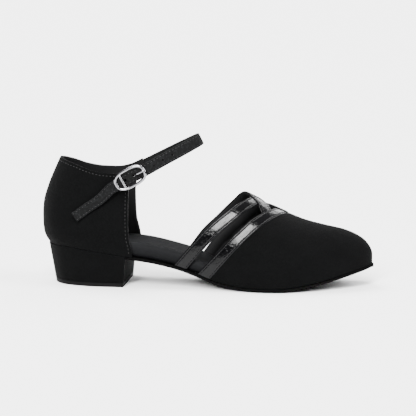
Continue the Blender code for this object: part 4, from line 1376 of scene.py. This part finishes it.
class SHOE_OT_stage(Operator):
    """Camera, pale floor and soft light"""

    bl_idname = "shoe.stage"
    bl_label = "Stage"

    def execute(self, context):
        self.camera(context.scene)
        self.floor(context.scene.shoe_stage)
        self.light(context.scene)
        return {"FINISHED"}

    def camera(self, scene):
        view = bpy.data.cameras.new("photo_view")
        view.sensor_width = SENSOR
        view.lens = FOCAL_PIXELS / PHOTO_PIXELS * SENSOR
        view.clip_end = VIEW_END
        eye = placed("photo_view", view)
        eye.location = CAMERA_PLACE
        eye.rotation_euler = (pi / 2 - CAMERA_ELEVATION, 0, CAMERA_AZIMUTH)
        scene.camera = eye

    def floor(self, s):
        bm = bmesh.new()
        bmesh.ops.create_circle(bm, cap_ends=True, segments=64, radius=FLOOR_RADIUS)
        mesh = mesh_of("floor", bm)
        made = Finish("pale_floor", Specular_IOR_Level=0.1)
        cloud = made.noise(0.6, 2, 0.5)
        made.colour((cloud, shade(s.floor, 0.99), s.floor))
        made.shader.inputs["Roughness"].default_value = 0.9
        mesh.materials.append(made.material)
        ground = placed("floor", mesh)

    def light(self, scene):
        s = scene.shoe_stage
        for name, power, size, places in (
                ("front", s.front, s.front_size, FRONT_LIGHTS), ("back", s.back, s.back_size, BACK_LIGHTS),
                ("side", s.side, s.side_size, SIDE_LIGHTS), ("high", s.high, s.high_size, HIGH_LIGHTS)):
            for n, (height, round_by) in enumerate(places):
                sun = bpy.data.lights.new(f"{name}_{n}", "SUN")
                sun.energy = power / len(places)
                sun.angle = size
                lamp = placed(sun.name, sun)
                lamp.rotation_euler = (radians(90 - height), 0, radians(round_by))
        room = bpy.data.worlds.new("room")
        room.use_nodes = True
        tree = room.node_tree
        background = tree.nodes["Background"]
        where = tree.nodes.new("ShaderNodeTexCoord")
        split = tree.nodes.new("ShaderNodeSeparateXYZ")
        ramp = tree.nodes.new("ShaderNodeValToRGB")
        fill_ramp(ramp, ROOM_GREYS)
        tree.links.new(where.outputs["Generated"], split.inputs[0])
        tree.links.new(split.outputs["Z"], ramp.inputs["Fac"])
        tree.links.new(ramp.outputs["Color"], background.inputs["Color"])
        background.inputs["Strength"].default_value = s.sky
        scene.world = room


PIECES = (
    SHOE_OT_outsole,
    SHOE_OT_heel,
    SHOE_OT_insole,
    SHOE_OT_quarter,
    SHOE_OT_vamp,
    SHOE_OT_binding,
    SHOE_OT_cross_straps,
    SHOE_OT_ankle_strap,
    SHOE_OT_buckle,
)


class SHOE_PT_panel(Panel):
    """Sizes, colours and pieces of the shoe"""

    bl_label = "Ballroom dance shoe"
    bl_idname = "SHOE_PT_panel"
    bl_space_type = "VIEW_3D"
    bl_region_type = "UI"
    bl_category = "Shoe"

    def draw(self, context):
        for operator in (SHOE_OT_stage, *PIECES):
            self.layout.operator(operator.bl_idname)
        for group, kind in GROUPS.items():
            box = self.layout.box()
            for field in kind.__annotations__:
                box.prop(getattr(context.scene, group), field)


CLASSES = (*GROUPS.values(), SHOE_OT_stage, *PIECES, SHOE_PT_panel)


def register():
    for one in CLASSES:
        bpy.utils.register_class(one)
    for name, kind in GROUPS.items():
        setattr(bpy.types.Scene, name, PointerProperty(type=kind))


def unregister():
    for name in GROUPS:
        delattr(bpy.types.Scene, name)
    for one in reversed(CLASSES):
        bpy.utils.unregister_class(one)


def main():
    register()
    bpy.ops.shoe.stage()
    bpy.ops.shoe.outsole()
    bpy.ops.shoe.heel()
    bpy.ops.shoe.insole()
    bpy.ops.shoe.quarter()
    bpy.ops.shoe.vamp()
    bpy.ops.shoe.binding()
    bpy.ops.shoe.cross_straps()
    bpy.ops.shoe.ankle_strap()
    bpy.ops.shoe.buckle()


if __name__ == "__main__":
    main()
